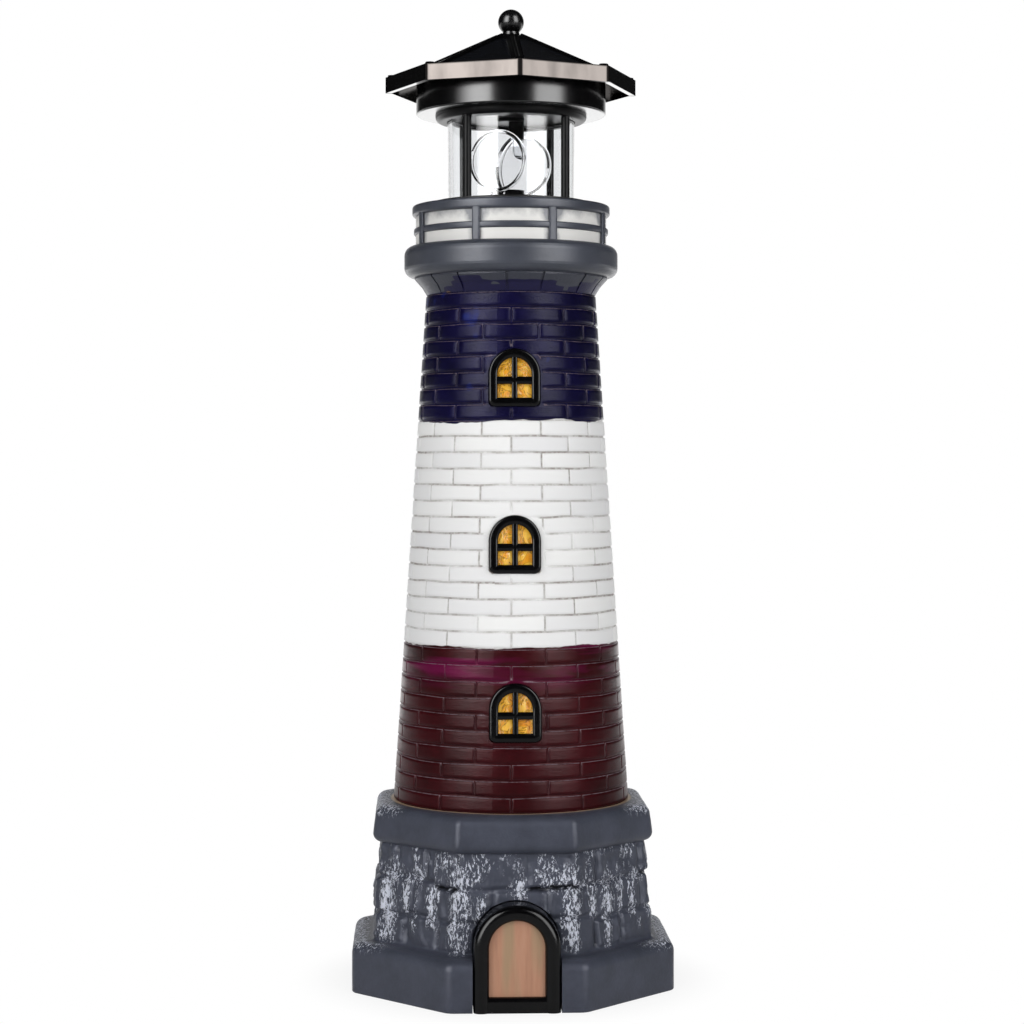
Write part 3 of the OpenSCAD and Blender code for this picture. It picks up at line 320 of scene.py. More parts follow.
def setLamps():  # two large soft panels, left and right of the camera, that light only by diffusion
    for name, side in (("lampLeft", -1), ("lampRight", 1)):
        data = bpy.data.lights.new(name, "AREA")
        data.shape, data.energy = "RECTANGLE", studio["lampPower"]
        data.size, data.size_y = studio["lampSize"], studio["lampSize"] * studio["lampTall"]
        made = addObject(name, data)
        t = math.radians(view["turn"] + side * studio["lampTurn"])
        made.location = (studio["lampReach"] * math.sin(t), -studio["lampReach"] * math.cos(t),
                         studio["lampHeight"])
        aim = math.atan2(studio["lampHeight"] - studio["aimHeight"], studio["lampReach"])
        made.rotation_euler = (math.pi / 2 - aim, 0, t)
        made.visible_glossy = made.visible_transmission = made.visible_camera = False


# The floor: lengths in m from the object's middle
ground = {
    "radius": 12.0, "corners": 64, "paper": "#f2f2f2",
    "shadowIn": 0.055, "shadowOut": 0.085, "shadowShare": 0.86,
    "nearAt": 0.35, "farAt": 1.1, "nearGlow": 0.55, "farGlow": 0.12,
    "sweepFrom": 0.5, "sweepTo": 1.0, "sweepGlow": 1.3,
}


def setFloor():
    # a wide plain disc; it glows white to the eye, keeps a faint shadow close to the object, and sweeps up
    # brighter behind it for what mirrors it from below
    made, tree, shader, place = startMaterial("paleFloorPaper")
    fillInputs(shader, {"Base Color": linear(ground["paper"]), "Roughness": 0.9, "Specular IOR Level": 0.1})
    reach = addNode(tree, "VectorMath", {0: place}, operation="LENGTH").outputs["Value"]
    far = addNode(tree, "MapRange",
                  {0: reach, 1: ground["shadowIn"], 2: ground["shadowOut"], 3: ground["shadowShare"], 4: 1.0},
                  interpolation_type="SMOOTHSTEP").outputs[0]
    path = addNode(tree, "LightPath").outputs
    close = addNode(tree, "MapRange",
                    {0: reach, 1: ground["nearAt"], 2: ground["farAt"], 3: ground["nearGlow"],
                     4: ground["farGlow"]}, interpolation_type="SMOOTHSTEP").outputs[0]
    mirrored = addNode(tree, "Math", {0: path["Is Glossy Ray"], 1: close}, operation="MULTIPLY").outputs[0]
    clear = addNode(tree, "Math", {0: path["Is Camera Ray"], 1: path["Is Transmission Ray"]},
                    operation="MAXIMUM").outputs[0]
    eye = addNode(tree, "Math", {0: clear, 1: mirrored}, operation="MAXIMUM").outputs[0]
    rear = addNode(tree, "SeparateXYZ", {0: place}).outputs[1]
    sweep = addNode(tree, "MapRange", {0: rear, 1: ground["sweepFrom"], 2: ground["sweepTo"]},
                    interpolation_type="SMOOTHSTEP").outputs[0]
    lit = addNode(tree, "Math", {0: path["Is Glossy Ray"], 1: sweep}, operation="MULTIPLY").outputs[0]
    eye = addNode(tree, "Math", {0: eye, 1: lit}, operation="MAXIMUM").outputs[0]
    share = addNode(tree, "Math", {0: eye, 1: far}, operation="MULTIPLY").outputs[0]
    strength = addNode(tree, "Math", {0: lit, 1: ground["sweepGlow"], 2: 1.0},
                       operation="MULTIPLY_ADD").outputs[0]
    glow = addNode(tree, "Emission", {0: (1, 1, 1, 1), 1: strength}).outputs[0]
    both = addNode(tree, "MixShader", {0: share, 1: shader.outputs[0], 2: glow}).outputs[0]
    fillInputs(tree.nodes["Material Output"], {"Surface": both})
    mesh = bpy.data.meshes.new("floor")
    count = ground["corners"]
    t = np.arange(count) * 2 * np.pi / count
    rim = ground["radius"] * np.stack([np.sin(t), -np.cos(t), 0 * t], -1)
    points = np.concatenate([[[0, 0, 0]], rim])
    mesh.from_pydata(points.tolist(), [], [[0, i + 1, (i + 1) % count + 1] for i in range(count)])
    mesh.materials.append(made)
    addObject("floor", mesh)


setCamera()
setWorld()
setLamps()
setFloor()
bpy.context.scene.view_settings.view_transform = "Standard"
print("camera, light and floor are set")


# Hand paint on the tower, with glint the colour of a painted highlight on upward brick edges;
# the two borders are heights in mm, and the paint wanders over and under them
paint = {
    "red": "#380a10", "redDeep": "#250709", "magenta": "#5e0d38", "white": "#f4f4f3", "whiteShade": "#e9e9ea",
    "line": "#8b827c", "blue": "#0f0c31", "blueDeep": "#07061e", "smudge": "#223a9c", "glint": "#8f8088",
    "redTop": build["towerZ"] + 59.4, "blueFoot": build["towerZ"] + 141.6, "wander": 1.1, "soft": 0.12,
}


def paintedBrick():
    # cast stone brickwork under three hand-painted bands: the paint stops in a wandering line, thins to
    # brighter tints in places, and the white keeps brown grime in its joints; the red and blue bricks get a
    # painted highlight along their edges that face upward
    made, tree, shader, place = startMaterial("handPaintedBrick")
    z = addNode(tree, "SeparateXYZ", {0: place}).outputs[2]
    joint = addNode(tree, "Attribute", attribute_name="joint").outputs["Fac"]
    own = addNode(tree, "Attribute", attribute_name="ownTone").outputs["Fac"]
    wander = addNode(tree, "TexNoise",
                     {"Vector": place, "Scale": every(22.22), "Detail": 3.0, "Roughness": 0.6}).outputs[0]
    offset = addNode(tree, "MapRange",
                     {0: wander, 1: 0.3, 2: 0.7, 3: -paint["wander"] * mm, 4: paint["wander"] * mm},
                     clamp=False).outputs[0]
    height = addNode(tree, "Math", {0: z, 1: offset}, operation="ADD").outputs[0]
    isWhite = addNode(tree, "MapRange", {0: height, 1: (paint["redTop"] - paint["soft"]) * mm,
                                         2: (paint["redTop"] + paint["soft"]) * mm})
    isBlue = addNode(tree, "MapRange", {0: height, 1: (paint["blueFoot"] - paint["soft"]) * mm,
                                        2: (paint["blueFoot"] + paint["soft"]) * mm})
    blotch = addNode(tree, "TexNoise",
                     {"Vector": place, "Scale": every(26.32), "Detail": 4.0, "Roughness": 0.62}).outputs[0]
    brushMap = addNode(tree, "Mapping", {"Vector": place, "Scale": (1.0, 1.0, 7.0)}).outputs[0]
    brush = addNode(tree, "TexNoise",
                    {"Vector": brushMap, "Scale": every(3.846), "Detail": 3.0, "Roughness": 0.6}).outputs[0]
    red = addNode(tree, "ValToRGB", {0: blotch},
                  [(0.3, linear(paint["redDeep"])), (0.62, linear(paint["red"]))]).outputs[0]
    nearTop = addNode(tree, "MapRange",
                      {0: z, 1: (paint["redTop"] - 16) * mm, 2: (paint["redTop"] - 9) * mm}).outputs[0]
    tint = addNode(tree, "TexNoise",
                   {"Vector": brushMap, "Scale": every(52.63), "Detail": 3.0, "Distortion": 0.5}).outputs[0]
    thin = addNode(tree, "MapRange", {0: tint, 1: 0.53, 2: 0.68}).outputs[0]
    magenta = addNode(tree, "Math", {0: nearTop, 1: thin}, operation="MULTIPLY").outputs[0]
    red = addNode(tree, "Mix", {0: magenta, 6: red, 7: linear(paint["magenta"])}, data_type="RGBA").outputs[2]
    blue = addNode(tree, "ValToRGB", {0: blotch},
                   [(0.35, linear(paint["blueDeep"])), (0.6, linear(paint["blue"]))]).outputs[0]
    spot = addNode(tree, "TexNoise", {"Vector": place, "Scale": every(11.76), "Detail": 2.0}).outputs[0]
    smudge = addNode(tree, "MapRange", {0: spot, 1: 0.69, 2: 0.8, 4: 0.4}).outputs[0]
    blue = addNode(tree, "Mix", {0: smudge, 6: blue, 7: linear(paint["smudge"])}, data_type="RGBA").outputs[2]
    fine = addNode(tree, "TexNoise",
                   {"Vector": place, "Scale": every(2.0), "Detail": 3.0, "Roughness": 0.7}).outputs[0]
    line = addNode(tree, "MapRange", {0: joint, 1: 0.55, 2: 0.95}).outputs[0]
    patch = addNode(tree, "MapRange", {0: blotch, 1: 0.40, 2: 0.60, 3: 0.22, 4: 0.85}).outputs[0]
    caught = addNode(tree, "MapRange", {0: fine, 1: 0.35, 2: 0.55, 3: 0.5, 4: 1.0}).outputs[0]
    held = addNode(tree, "Math", {0: line, 1: caught}, operation="MULTIPLY").outputs[0]
    grime = addNode(tree, "Math", {0: held, 1: patch}, operation="MULTIPLY").outputs[0]
    white = addNode(tree, "Mix", {0: own, 6: linear(paint["white"]), 7: linear(paint["whiteShade"])},
                    data_type="RGBA").outputs[2]
    white = addNode(tree, "Mix", {0: grime, 6: white, 7: linear(paint["line"])}, data_type="RGBA").outputs[2]
    # painted highlight: the red and blue bricks' edges that face upward are mixed toward the light glint
    # colour
    offEdge = addNode(tree, "Math", {0: 1.0, 1: joint}, operation="SUBTRACT").outputs[0]
    edge = addNode(tree, "Math", {0: joint, 1: offEdge}, operation="MULTIPLY").outputs[0]
    edgeGlint = addNode(tree, "Math", {0: edge, 1: caught}, operation="MULTIPLY").outputs[0]
    facing = addNode(tree, "SeparateXYZ", {0: addNode(tree, "NewGeometry").outputs["Normal"]}).outputs[2]
    upward = addNode(tree, "MapRange", {0: facing, 1: 0.05, 2: 0.45, 3: 0.10, 4: 0.75}).outputs[0]
    worn = addNode(tree, "MapRange", {0: edgeGlint, 1: 0.06, 2: 0.24}).outputs[0]
    worn = addNode(tree, "Math", {0: worn, 1: upward}, operation="MULTIPLY").outputs[0]
    red = addNode(tree, "Mix", {0: worn, 6: red, 7: linear(paint["glint"])}, data_type="RGBA").outputs[2]
    blue = addNode(tree, "Mix", {0: worn, 6: blue, 7: linear(paint["glint"])}, data_type="RGBA").outputs[2]
    lower = addNode(tree, "Mix", {0: isWhite.outputs[0], 6: red, 7: white}, data_type="RGBA").outputs[2]
    colour = addNode(tree, "Mix", {0: isBlue.outputs[0], 6: lower, 7: blue}, data_type="RGBA").outputs[2]
    onlyWhite = addNode(tree, "Math", {0: isWhite.outputs[0], 1: isBlue.outputs[0]},
                        operation="SUBTRACT").outputs[0]
    rough = addNode(tree, "MapRange", {0: onlyWhite, 3: 0.30, 4: 0.62}).outputs[0]
    rough = addNode(tree, "Math",
                    {0: rough, 1: addNode(tree, "MapRange", {0: fine, 3: -0.06, 4: 0.08}).outputs[0]},
                    operation="ADD").outputs[0]
    nearHead = addNode(tree, "MapRange",
                       {0: z, 1: (build["corbelZ"] - 7) * mm, 2: (build["corbelZ"] - 3) * mm,
                                          3: 0.25, 4: 1.0})
    peel = addNode(tree, "TexNoise", {"Vector": place, "Scale": every(0.7143), "Detail": 1.0}).outputs[0]
    peelDeep = addNode(tree, "Math", {0: peel, 1: nearHead.outputs[0]}, operation="MULTIPLY").outputs[0]
    relief = addNode(tree, "Math", {0: peelDeep, 1: brush}, operation="ADD").outputs[0]
    bump = addNode(tree, "Bump", {"Height": relief, "Distance": 0.12 * mm, "Strength": 0.6}).outputs[0]
    fillInputs(shader, {"Base Color": colour, "Roughness": rough, "Normal": bump, "IOR": 1.48,
                        "Specular IOR Level": 0.08})
    return made


# Slate grey paint on the castings; the glue is a ring round the tower's foot, in mm
stone = {
    "base": "#353842", "light": "#444753", "dark": "#0e0f12", "brush": "#d6dae6", "glue": "#b09a80",
    "glueR": 44.8, "glueSoft": 0.8, "glueZ": 67.0, "smoothDark": "#33363e", "smoothLight": "#40434c",
}


def dryBrushedStone():
    # cast resin stone in slate grey paint: dark in the gaps, white dry-brushed in runs that catch on the
    # relief
    made, tree, shader, place = startMaterial("dryBrushedCastStone")
    spot = addNode(tree, "SeparateXYZ", {0: place}).outputs
    gap = addNode(tree, "Attribute", attribute_name="gap").outputs["Fac"]
    runs = addNode(tree, "Attribute", attribute_name="runs").outputs["Fac"]
    cloud = addNode(tree, "TexNoise",
                    {"Vector": place, "Scale": every(14.29), "Detail": 5.0, "Roughness": 0.65}).outputs[0]
    grey = addNode(tree, "ValToRGB", {0: cloud},
                   [(0.3, linear(stone["base"])), (0.72, linear(stone["light"]))]).outputs[0]
    grey = addNode(tree, "Mix", {0: gap, 6: grey, 7: linear(stone["dark"])}, data_type="RGBA").outputs[2]
    drag = addNode(tree, "Mapping", {"Vector": place, "Scale": (1.0, 1.0, 0.4)}).outputs[0]
    grain = addNode(tree, "TexNoise", {"Vector": drag, "Scale": every(0.8), "Detail": 5.0, "Roughness": 0.72,
                                       "Distortion": 0.4}).outputs[0]
    grainCut = addNode(tree, "MapRange", {0: grain, 1: 0.42, 2: 0.58, 3: -0.55, 4: 0.45}).outputs[0]
    caught = addNode(tree, "Math", {0: runs, 1: grainCut}, operation="ADD").outputs[0]
    cover = addNode(tree, "MapRange", {0: caught, 1: 0.46, 2: 0.66, 4: 0.9}).outputs[0]
    colour = addNode(tree, "Mix", {0: cover, 6: grey, 7: linear(stone["brush"])}, data_type="RGBA").outputs[2]
    flat = addNode(tree, "CombineXYZ", {0: spot[0], 1: spot[1]}).outputs[0]
    reach = addNode(tree, "VectorMath", {0: flat}, operation="LENGTH").outputs["Value"]
    ring = addNode(tree, "MapRange",
                   {0: reach, 1: stone["glueR"] * mm, 2: (stone["glueR"] + stone["glueSoft"]) * mm, 3: 1.0,
                    4: 0.0}).outputs[0]
    top = addNode(tree, "MapRange",
                  {0: spot[2], 1: stone["glueZ"] * mm, 2: (stone["glueZ"] + 0.6) * mm}).outputs[0]
    glue = addNode(tree, "Math", {0: ring, 1: top}, operation="MULTIPLY").outputs[0]
    colour = addNode(tree, "Mix", {0: glue, 6: colour, 7: linear(stone["glue"])}, data_type="RGBA").outputs[2]
    rough = addNode(tree, "MapRange", {0: cover, 3: 0.42, 4: 0.72}).outputs[0]
    grit = addNode(tree, "TexNoise",
                   {"Vector": place, "Scale": every(1.111), "Detail": 3.0, "Roughness": 0.6}).outputs[0]
    lumps = addNode(tree, "Math", {0: cover, 1: 0.8}, operation="MULTIPLY").outputs[0]
    relief = addNode(tree, "Math", {0: grit, 1: lumps}, operation="ADD").outputs[0]
    bump = addNode(tree, "Bump", {"Height": relief, "Distance": 0.18 * mm, "Strength": 0.5}).outputs[0]
    fillInputs(shader, {"Base Color": colour, "Roughness": rough, "Normal": bump, "IOR": 1.48,
                        "Specular IOR Level": 0.24})
    return made


def greyGalleryPaint():
    # the same slate paint on smooth castings: satin, a little lighter where handling has rubbed it
    made, tree, shader, place = startMaterial("slateGreyPaint")
    cloud = addNode(tree, "TexNoise",
                    {"Vector": place, "Scale": every(16.67), "Detail": 5.0, "Roughness": 0.6}).outputs[0]
    colour = addNode(tree, "ValToRGB", {0: cloud},
                     [(0.3, linear(stone["smoothDark"])), (0.7, linear(stone["smoothLight"]))]).outputs[0]
    grit = addNode(tree, "TexNoise", {"Vector": place, "Scale": every(1.25), "Detail": 3.0}).outputs[0]
    rough = addNode(tree, "MapRange", {0: grit, 3: 0.32, 4: 0.44}).outputs[0]
    bump = addNode(tree, "Bump", {"Height": grit, "Distance": 0.1 * mm, "Strength": 0.35}).outputs[0]
    fillInputs(shader, {"Base Color": colour, "Roughness": rough, "Normal": bump, "IOR": 1.48,
                        "Specular IOR Level": 0.35})
    return made


# The ragged edge's height, and how far it swings and steps, in mm
corbel = {
    "grey": "#3a3c45", "bare": "#6a5238", "edgeZ": 259.0, "swing": 2.6, "step": 1.8, "swingShare": 0.3,
}


def raggedCorbelPaint():
    # slate grey above and navy below, where the tower's paint was brushed up over the corbels in a ragged
    # edge
    made, tree, shader, place = startMaterial("raggedCorbelPaint")
    z = addNode(tree, "SeparateXYZ", {0: place}).outputs[2]
    flatMap = addNode(tree, "Mapping", {"Vector": place, "Scale": (1.0, 1.0, 0.3)}).outputs[0]
    wander = addNode(tree, "TexNoise",
                     {"Vector": flatMap, "Scale": every(20.83), "Detail": 2.5, "Roughness": 0.5}).outputs[0]
    swing = addNode(tree, "MapRange", {0: wander, 1: 0.35, 2: 0.65, 3: -corbel["swing"] * mm,
                                       4: corbel["swing"] * mm}, clamp=False).outputs[0]
    stepped = addNode(tree, "Math", {0: swing, 1: corbel["step"] * mm}, operation="SNAP").outputs[0]
    offset = addNode(tree, "Mix", {0: corbel["swingShare"], 2: stepped, 3: swing}).outputs[0]
    height = addNode(tree, "Math", {0: z, 1: offset}, operation="ADD").outputs[0]
    isGrey = addNode(tree, "MapRange",
                     {0: height, 1: corbel["edgeZ"] * mm, 2: (corbel["edgeZ"] + 0.2) * mm}).outputs[0]
    colour = addNode(tree, "Mix", {0: isGrey, 6: linear(paint["blue"]), 7: linear(corbel["grey"])},
                     data_type="RGBA").outputs[2]
    chip = addNode(tree, "TexVoronoi", {"Vector": place, "Scale": every(18.18)}).outputs[0]
    bare = addNode(tree, "MapRange", {0: chip, 1: 0.10, 2: 0.13, 3: 1.0, 4: 0.0}).outputs[0]
    colour = addNode(tree, "Mix", {0: bare, 6: colour, 7: linear(corbel["bare"])},
                     data_type="RGBA").outputs[2]
    grit = addNode(tree, "TexNoise", {"Vector": place, "Scale": every(1.111), "Detail": 3.0}).outputs[0]
    bump = addNode(tree, "Bump", {"Height": grit, "Distance": 0.15 * mm, "Strength": 0.6}).outputs[0]
    fillInputs(shader, {"Base Color": colour, "Normal": bump, "IOR": 1.48, "Roughness": 0.42,
                        "Specular IOR Level": 0.25})
    return made


# painted shade on the white parapet panels: its grey, and the heights in mm where it begins and is full
panelShade = {"white": "#dfdedb", "grey": "#6f7178", "from": 280.5, "full": 287.0}  # heights in mm


def shadedWhitePanels():
    # white panels with painted shade: grey darkening beside the posts and toward their upper edges under the
    # top rail
    made, tree, shader, place = startMaterial("whitePanelsPaintedShade")
    split = addNode(tree, "SeparateXYZ", {0: place}).outputs
    cloud = addNode(tree, "TexNoise",
                    {"Vector": place, "Scale": every(6.667), "Detail": 4.0, "Roughness": 0.6}).outputs[0]
    turn = addNode(tree, "Math", {0: split[0], 1: split[1]}, operation="ARCTAN2").outputs[0]
    eighth = addNode(tree, "Math", {0: turn, 1: 4.0}, operation="MULTIPLY").outputs[0]
    bay = addNode(tree, "Math", {0: eighth}, operation="COSINE").outputs[0]
    side = addNode(tree, "Math", {0: bay}, operation="ABSOLUTE").outputs[0]
    corner = addNode(tree, "MapRange", {0: side, 1: 0.05, 2: 0.55, 3: 0.7, 4: 0.0}).outputs[0]
    upper = addNode(tree, "MapRange",
                    {0: split[2], 1: panelShade["from"] * mm, 2: panelShade["full"] * mm, 4: 0.55}).outputs[0]
    # painted shade: the corners by the posts and the upper row under the rail are mixed toward grey, broken
    # up by noise
    shadeMask = addNode(tree, "Math", {0: corner, 1: upper}, operation="ADD").outputs[0]
    worn = addNode(tree, "Math", {0: shadeMask, 1: cloud}, operation="MULTIPLY").outputs[0]
    amount = addNode(tree, "MapRange", {0: worn, 1: 0.12, 2: 0.34, 4: 0.85}).outputs[0]
    colour = addNode(tree, "Mix", {0: amount, 6: linear(panelShade["white"]), 7: linear(panelShade["grey"])},
                     data_type="RGBA").outputs[2]
    bump = addNode(tree, "Bump", {"Height": cloud, "Distance": 0.2 * mm, "Strength": 0.5}).outputs[0]
    fillInputs(shader, {"Base Color": colour, "Normal": bump, "IOR": 1.48, "Roughness": 0.55})
    return made


def plainFinish(name, dark, light, rough, grain=3.333, depth=0.04, metallic=0.0, ior=1.49, gleam=0.5):
    # one colour that drifts a little, a roughness that breaks up, and a faint moulded or drawn surface;
    # grain and depth are in mm
    made, tree, shader, place = startMaterial(name)
    drift = addNode(tree, "TexNoise",
                    {"Vector": place, "Scale": every(grain * 4), "Detail": 4.0, "Roughness": 0.6}).outputs[0]
    colour = addNode(tree, "ValToRGB", {0: drift}, [(0.3, linear(dark)), (0.7, linear(light))]).outputs[0]
    grit = addNode(tree, "TexNoise",
                   {"Vector": place, "Scale": every(grain), "Detail": 3.0, "Roughness": 0.6}).outputs[0]
    spread = addNode(tree, "MapRange", {0: grit, 1: 0.3, 2: 0.7, 3: rough * 0.94, 4: rough * 1.06}).outputs[0]
    bump = addNode(tree, "Bump", {"Height": grit, "Distance": depth * mm, "Strength": 0.4}).outputs[0]
    fillInputs(shader, {"Base Color": colour, "Roughness": spread, "Normal": bump, "Metallic": metallic,
                        "Specular IOR Level": gleam})
    if not metallic:
        fillInputs(shader, {"IOR": ior})
    return made


# The roof's turn on the head and half the angle that a fascia face takes, in degrees, and heights in mm
roof = {
    "turn": 1.8, "flatHalf": 21.0, "cornerSoft": 0.7, "edgeZ": 338.2, "topZ": 338.7, "slopeZ": 339.1,
    "dark": "#040405", "light": "#080809", "warm": "#fbeee6",
}


def roofGloss():
    # a gloss black moulding; its eight fascia faces mirror the room, while the rounded corners between
    # them, their upper edge and the duller pyramid stay black; the light that it throws back is a little
    # warm
    made, tree, shader, place = startMaterial("roofGlossBlack")
    split = addNode(tree, "SeparateXYZ", {0: place}).outputs
    around = addNode(tree, "Math", {0: split[1], 1: split[0]}, operation="ARCTAN2").outputs[0]
    square = addNode(tree, "Math", {0: around, 1: math.radians(roof["turn"])},
                     operation="SUBTRACT").outputs[0]
    folded = addNode(tree, "Math", {0: square, 1: math.pi / 4}, operation="FLOORED_MODULO").outputs[0]
    fromMiddle = addNode(tree, "Math", {0: folded, 1: math.pi / 8}, operation="SUBTRACT").outputs[0]
    swing = addNode(tree, "Math", {0: fromMiddle}, operation="ABSOLUTE").outputs[0]
    corner = addNode(tree, "MapRange", {0: swing, 1: math.radians(roof["flatHalf"]),
                                        2: math.radians(roof["flatHalf"] + roof["cornerSoft"])}).outputs[0]
    upper = addNode(tree, "MapRange", {0: split[2], 1: roof["edgeZ"] * mm, 2: roof["topZ"] * mm}).outputs[0]
    above = addNode(tree, "MapRange", {0: split[2], 1: roof["topZ"] * mm, 2: roof["slopeZ"] * mm}).outputs[0]
    dull = addNode(tree, "Math", {0: corner, 1: upper}, operation="MAXIMUM").outputs[0]
    ripple = addNode(tree, "TexNoise", {"Vector": place, "Scale": every(11.11), "Detail": 2.0}).outputs[0]
    bump = addNode(tree, "Bump", {"Height": ripple, "Distance": 0.06 * mm, "Strength": 0.3}).outputs[0]
    wiped = addNode(tree, "Mapping", {"Vector": place, "Scale": (1.0, 1.0, 0.3)}).outputs[0]
    streak = addNode(tree, "TexNoise", {"Vector": wiped, "Scale": every(6.25), "Detail": 3.0}).outputs[0]
    sheen = addNode(tree, "MapRange", {0: streak, 1: 0.3, 2: 0.6, 3: 0.3, 4: 0.46}).outputs[0]
    level = addNode(tree, "Mix", {0: dull, 2: sheen, 3: 0.01}).outputs[0]
    shade = addNode(tree, "ValToRGB", {0: ripple},
                    [(0.3, linear(roof["dark"])), (0.7, linear(roof["light"]))]).outputs[0]
    rough = addNode(tree, "MapRange", {0: above, 3: 0.09, 4: 0.3}).outputs[0]
    fillInputs(shader, {"Base Color": shade, "Roughness": rough, "Specular IOR Level": level,
                        "Normal": bump, "IOR": 1.62, "Specular Tint": linear(roof["warm"])})
    return made


doorTan = {"dark": "#9b725c", "mid": "#aa7d64", "light": "#b18972", "olive": "#8d8063"}


def streakedDoorPaint():
    # tan enamel dragged downwards with a dry brush: faint upright streaks with olive patches
    made, tree, shader, place = startMaterial("streakedTanEnamel")
    drag = addNode(tree, "Mapping", {"Vector": place, "Scale": (1.0, 1.0, 0.10)}).outputs[0]
    streak = addNode(tree, "TexNoise",
                     {"Vector": drag, "Scale": every(3.03), "Detail": 4.0, "Roughness": 0.6}).outputs[0]
    broad = addNode(tree, "TexNoise", {"Vector": drag, "Scale": every(8.333), "Detail": 2.0}).outputs[0]
    colour = addNode(tree, "ValToRGB", {0: streak},
                     [(0.28, linear(doorTan["dark"])), (0.5, linear(doorTan["mid"])),
                      (0.75, linear(doorTan["light"]))]).outputs[0]
    olive = addNode(tree, "MapRange", {0: broad, 1: 0.54, 2: 0.66, 4: 0.6}).outputs[0]
    colour = addNode(tree, "Mix", {0: olive, 6: colour, 7: linear(doorTan["olive"])},
                     data_type="RGBA").outputs[2]
    bump = addNode(tree, "Bump", {"Height": streak, "Distance": 0.1 * mm, "Strength": 0.4}).outputs[0]
    fillInputs(shader, {"Base Color": colour, "Normal": bump, "IOR": 1.48, "Roughness": 0.5})
    return made


# the panes' resin colours; glow is the colour of their faint painted glow
resin = {
    "brown": "#7a4208", "orange": "#e8921a", "amber": "#f8b62a", "pale": "#ffd45c",
    "vein": "#6a3a0c", "glow": "#ffae1a",
}


def amberPane():
    # cast amber resin with brown swirls: glossy, with a faint painted glow from a weak emission
    made, tree, shader, place = startMaterial("swirledAmberResin")
    swirl = addNode(tree, "TexNoise",
                    {"Vector": place, "Scale": every(6.667), "Detail": 4.0, "Roughness": 0.6,
                                       "Distortion": 2.4}).outputs[0]
    vein = addNode(tree, "Math", {0: swirl, 1: 0.5}, operation="SUBTRACT").outputs[0]
    vein = addNode(tree, "Math", {0: vein}, operation="ABSOLUTE").outputs[0]
    line = addNode(tree, "MapRange", {0: vein, 1: 0.0, 2: 0.035, 3: 0.85, 4: 0.0}).outputs[0]
    body = addNode(tree, "ValToRGB", {0: swirl}, [
        (0.26, linear(resin["brown"])), (0.36, linear(resin["orange"])), (0.5, linear(resin["amber"])),
        (0.72, linear(resin["pale"]))]).outputs[0]
    colour = addNode(tree, "Mix", {0: line, 6: body, 7: linear(resin["vein"])}, data_type="RGBA").outputs[2]
    bump = addNode(tree, "Bump", {"Height": swirl, "Distance": 1.2 * mm, "Strength": 0.6}).outputs[0]
    fillInputs(shader, {"Base Color": colour, "Normal": bump, "IOR": 1.5, "Roughness": 0.16,
                        "Emission Color": linear(resin["glow"]), "Emission Strength": 0.04})
    return made


def clearPlastic(name, ior, tintHex, rough=0.0, gleam=0.5):
    # moulded clear acrylic: see-through, with a barely uneven surface that bends what is behind it
    made, tree, shader, place = startMaterial(name)
    flow = addNode(tree, "TexNoise", {"Vector": place, "Scale": every(25.0), "Detail": 1.0}).outputs[0]
    bump = addNode(tree, "Bump", {"Height": flow, "Distance": 0.4 * mm, "Strength": 0.15}).outputs[0]
    fillInputs(shader, {"Normal": bump, "Base Color": linear(tintHex), "Roughness": rough, "IOR": ior,
                        "Transmission Weight": 1.0, "Specular IOR Level": gleam})
    return made


# The cells' colours, and the step in mm from one silver finger to the next
silicon = {"dark": "#050609", "light": "#090b12", "finger": "#3c4048", "pitch": 1.6}


def solarGlass():
    # silicon cells under clear resin: near black with a blue cast and thin silver fingers
    made, tree, shader, place = startMaterial("resinedSolarCell")
    split = addNode(tree, "SeparateXYZ", {0: place}).outputs
    comb = addNode(tree, "Math", {0: split[2], 1: 2 * math.pi / (silicon["pitch"] * mm)},
                   operation="MULTIPLY").outputs[0]
    comb = addNode(tree, "Math", {0: comb}, operation="SINE").outputs[0]
    finger = addNode(tree, "MapRange", {0: comb, 1: 0.95, 2: 0.99, 4: 0.15}).outputs[0]
    cloud = addNode(tree, "TexNoise", {"Vector": place, "Scale": every(4.167), "Detail": 2.0}).outputs[0]
    body = addNode(tree, "ValToRGB", {0: cloud},
                   [(0.3, linear(silicon["dark"])), (0.7, linear(silicon["light"]))]).outputs[0]
    colour = addNode(tree, "Mix", {0: finger, 6: body, 7: linear(silicon["finger"])},
                     data_type="RGBA").outputs[2]
    fillInputs(shader, {"Base Color": colour, "IOR": 1.5, "Roughness": 0.2, "Specular IOR Level": 0.1})
    return made


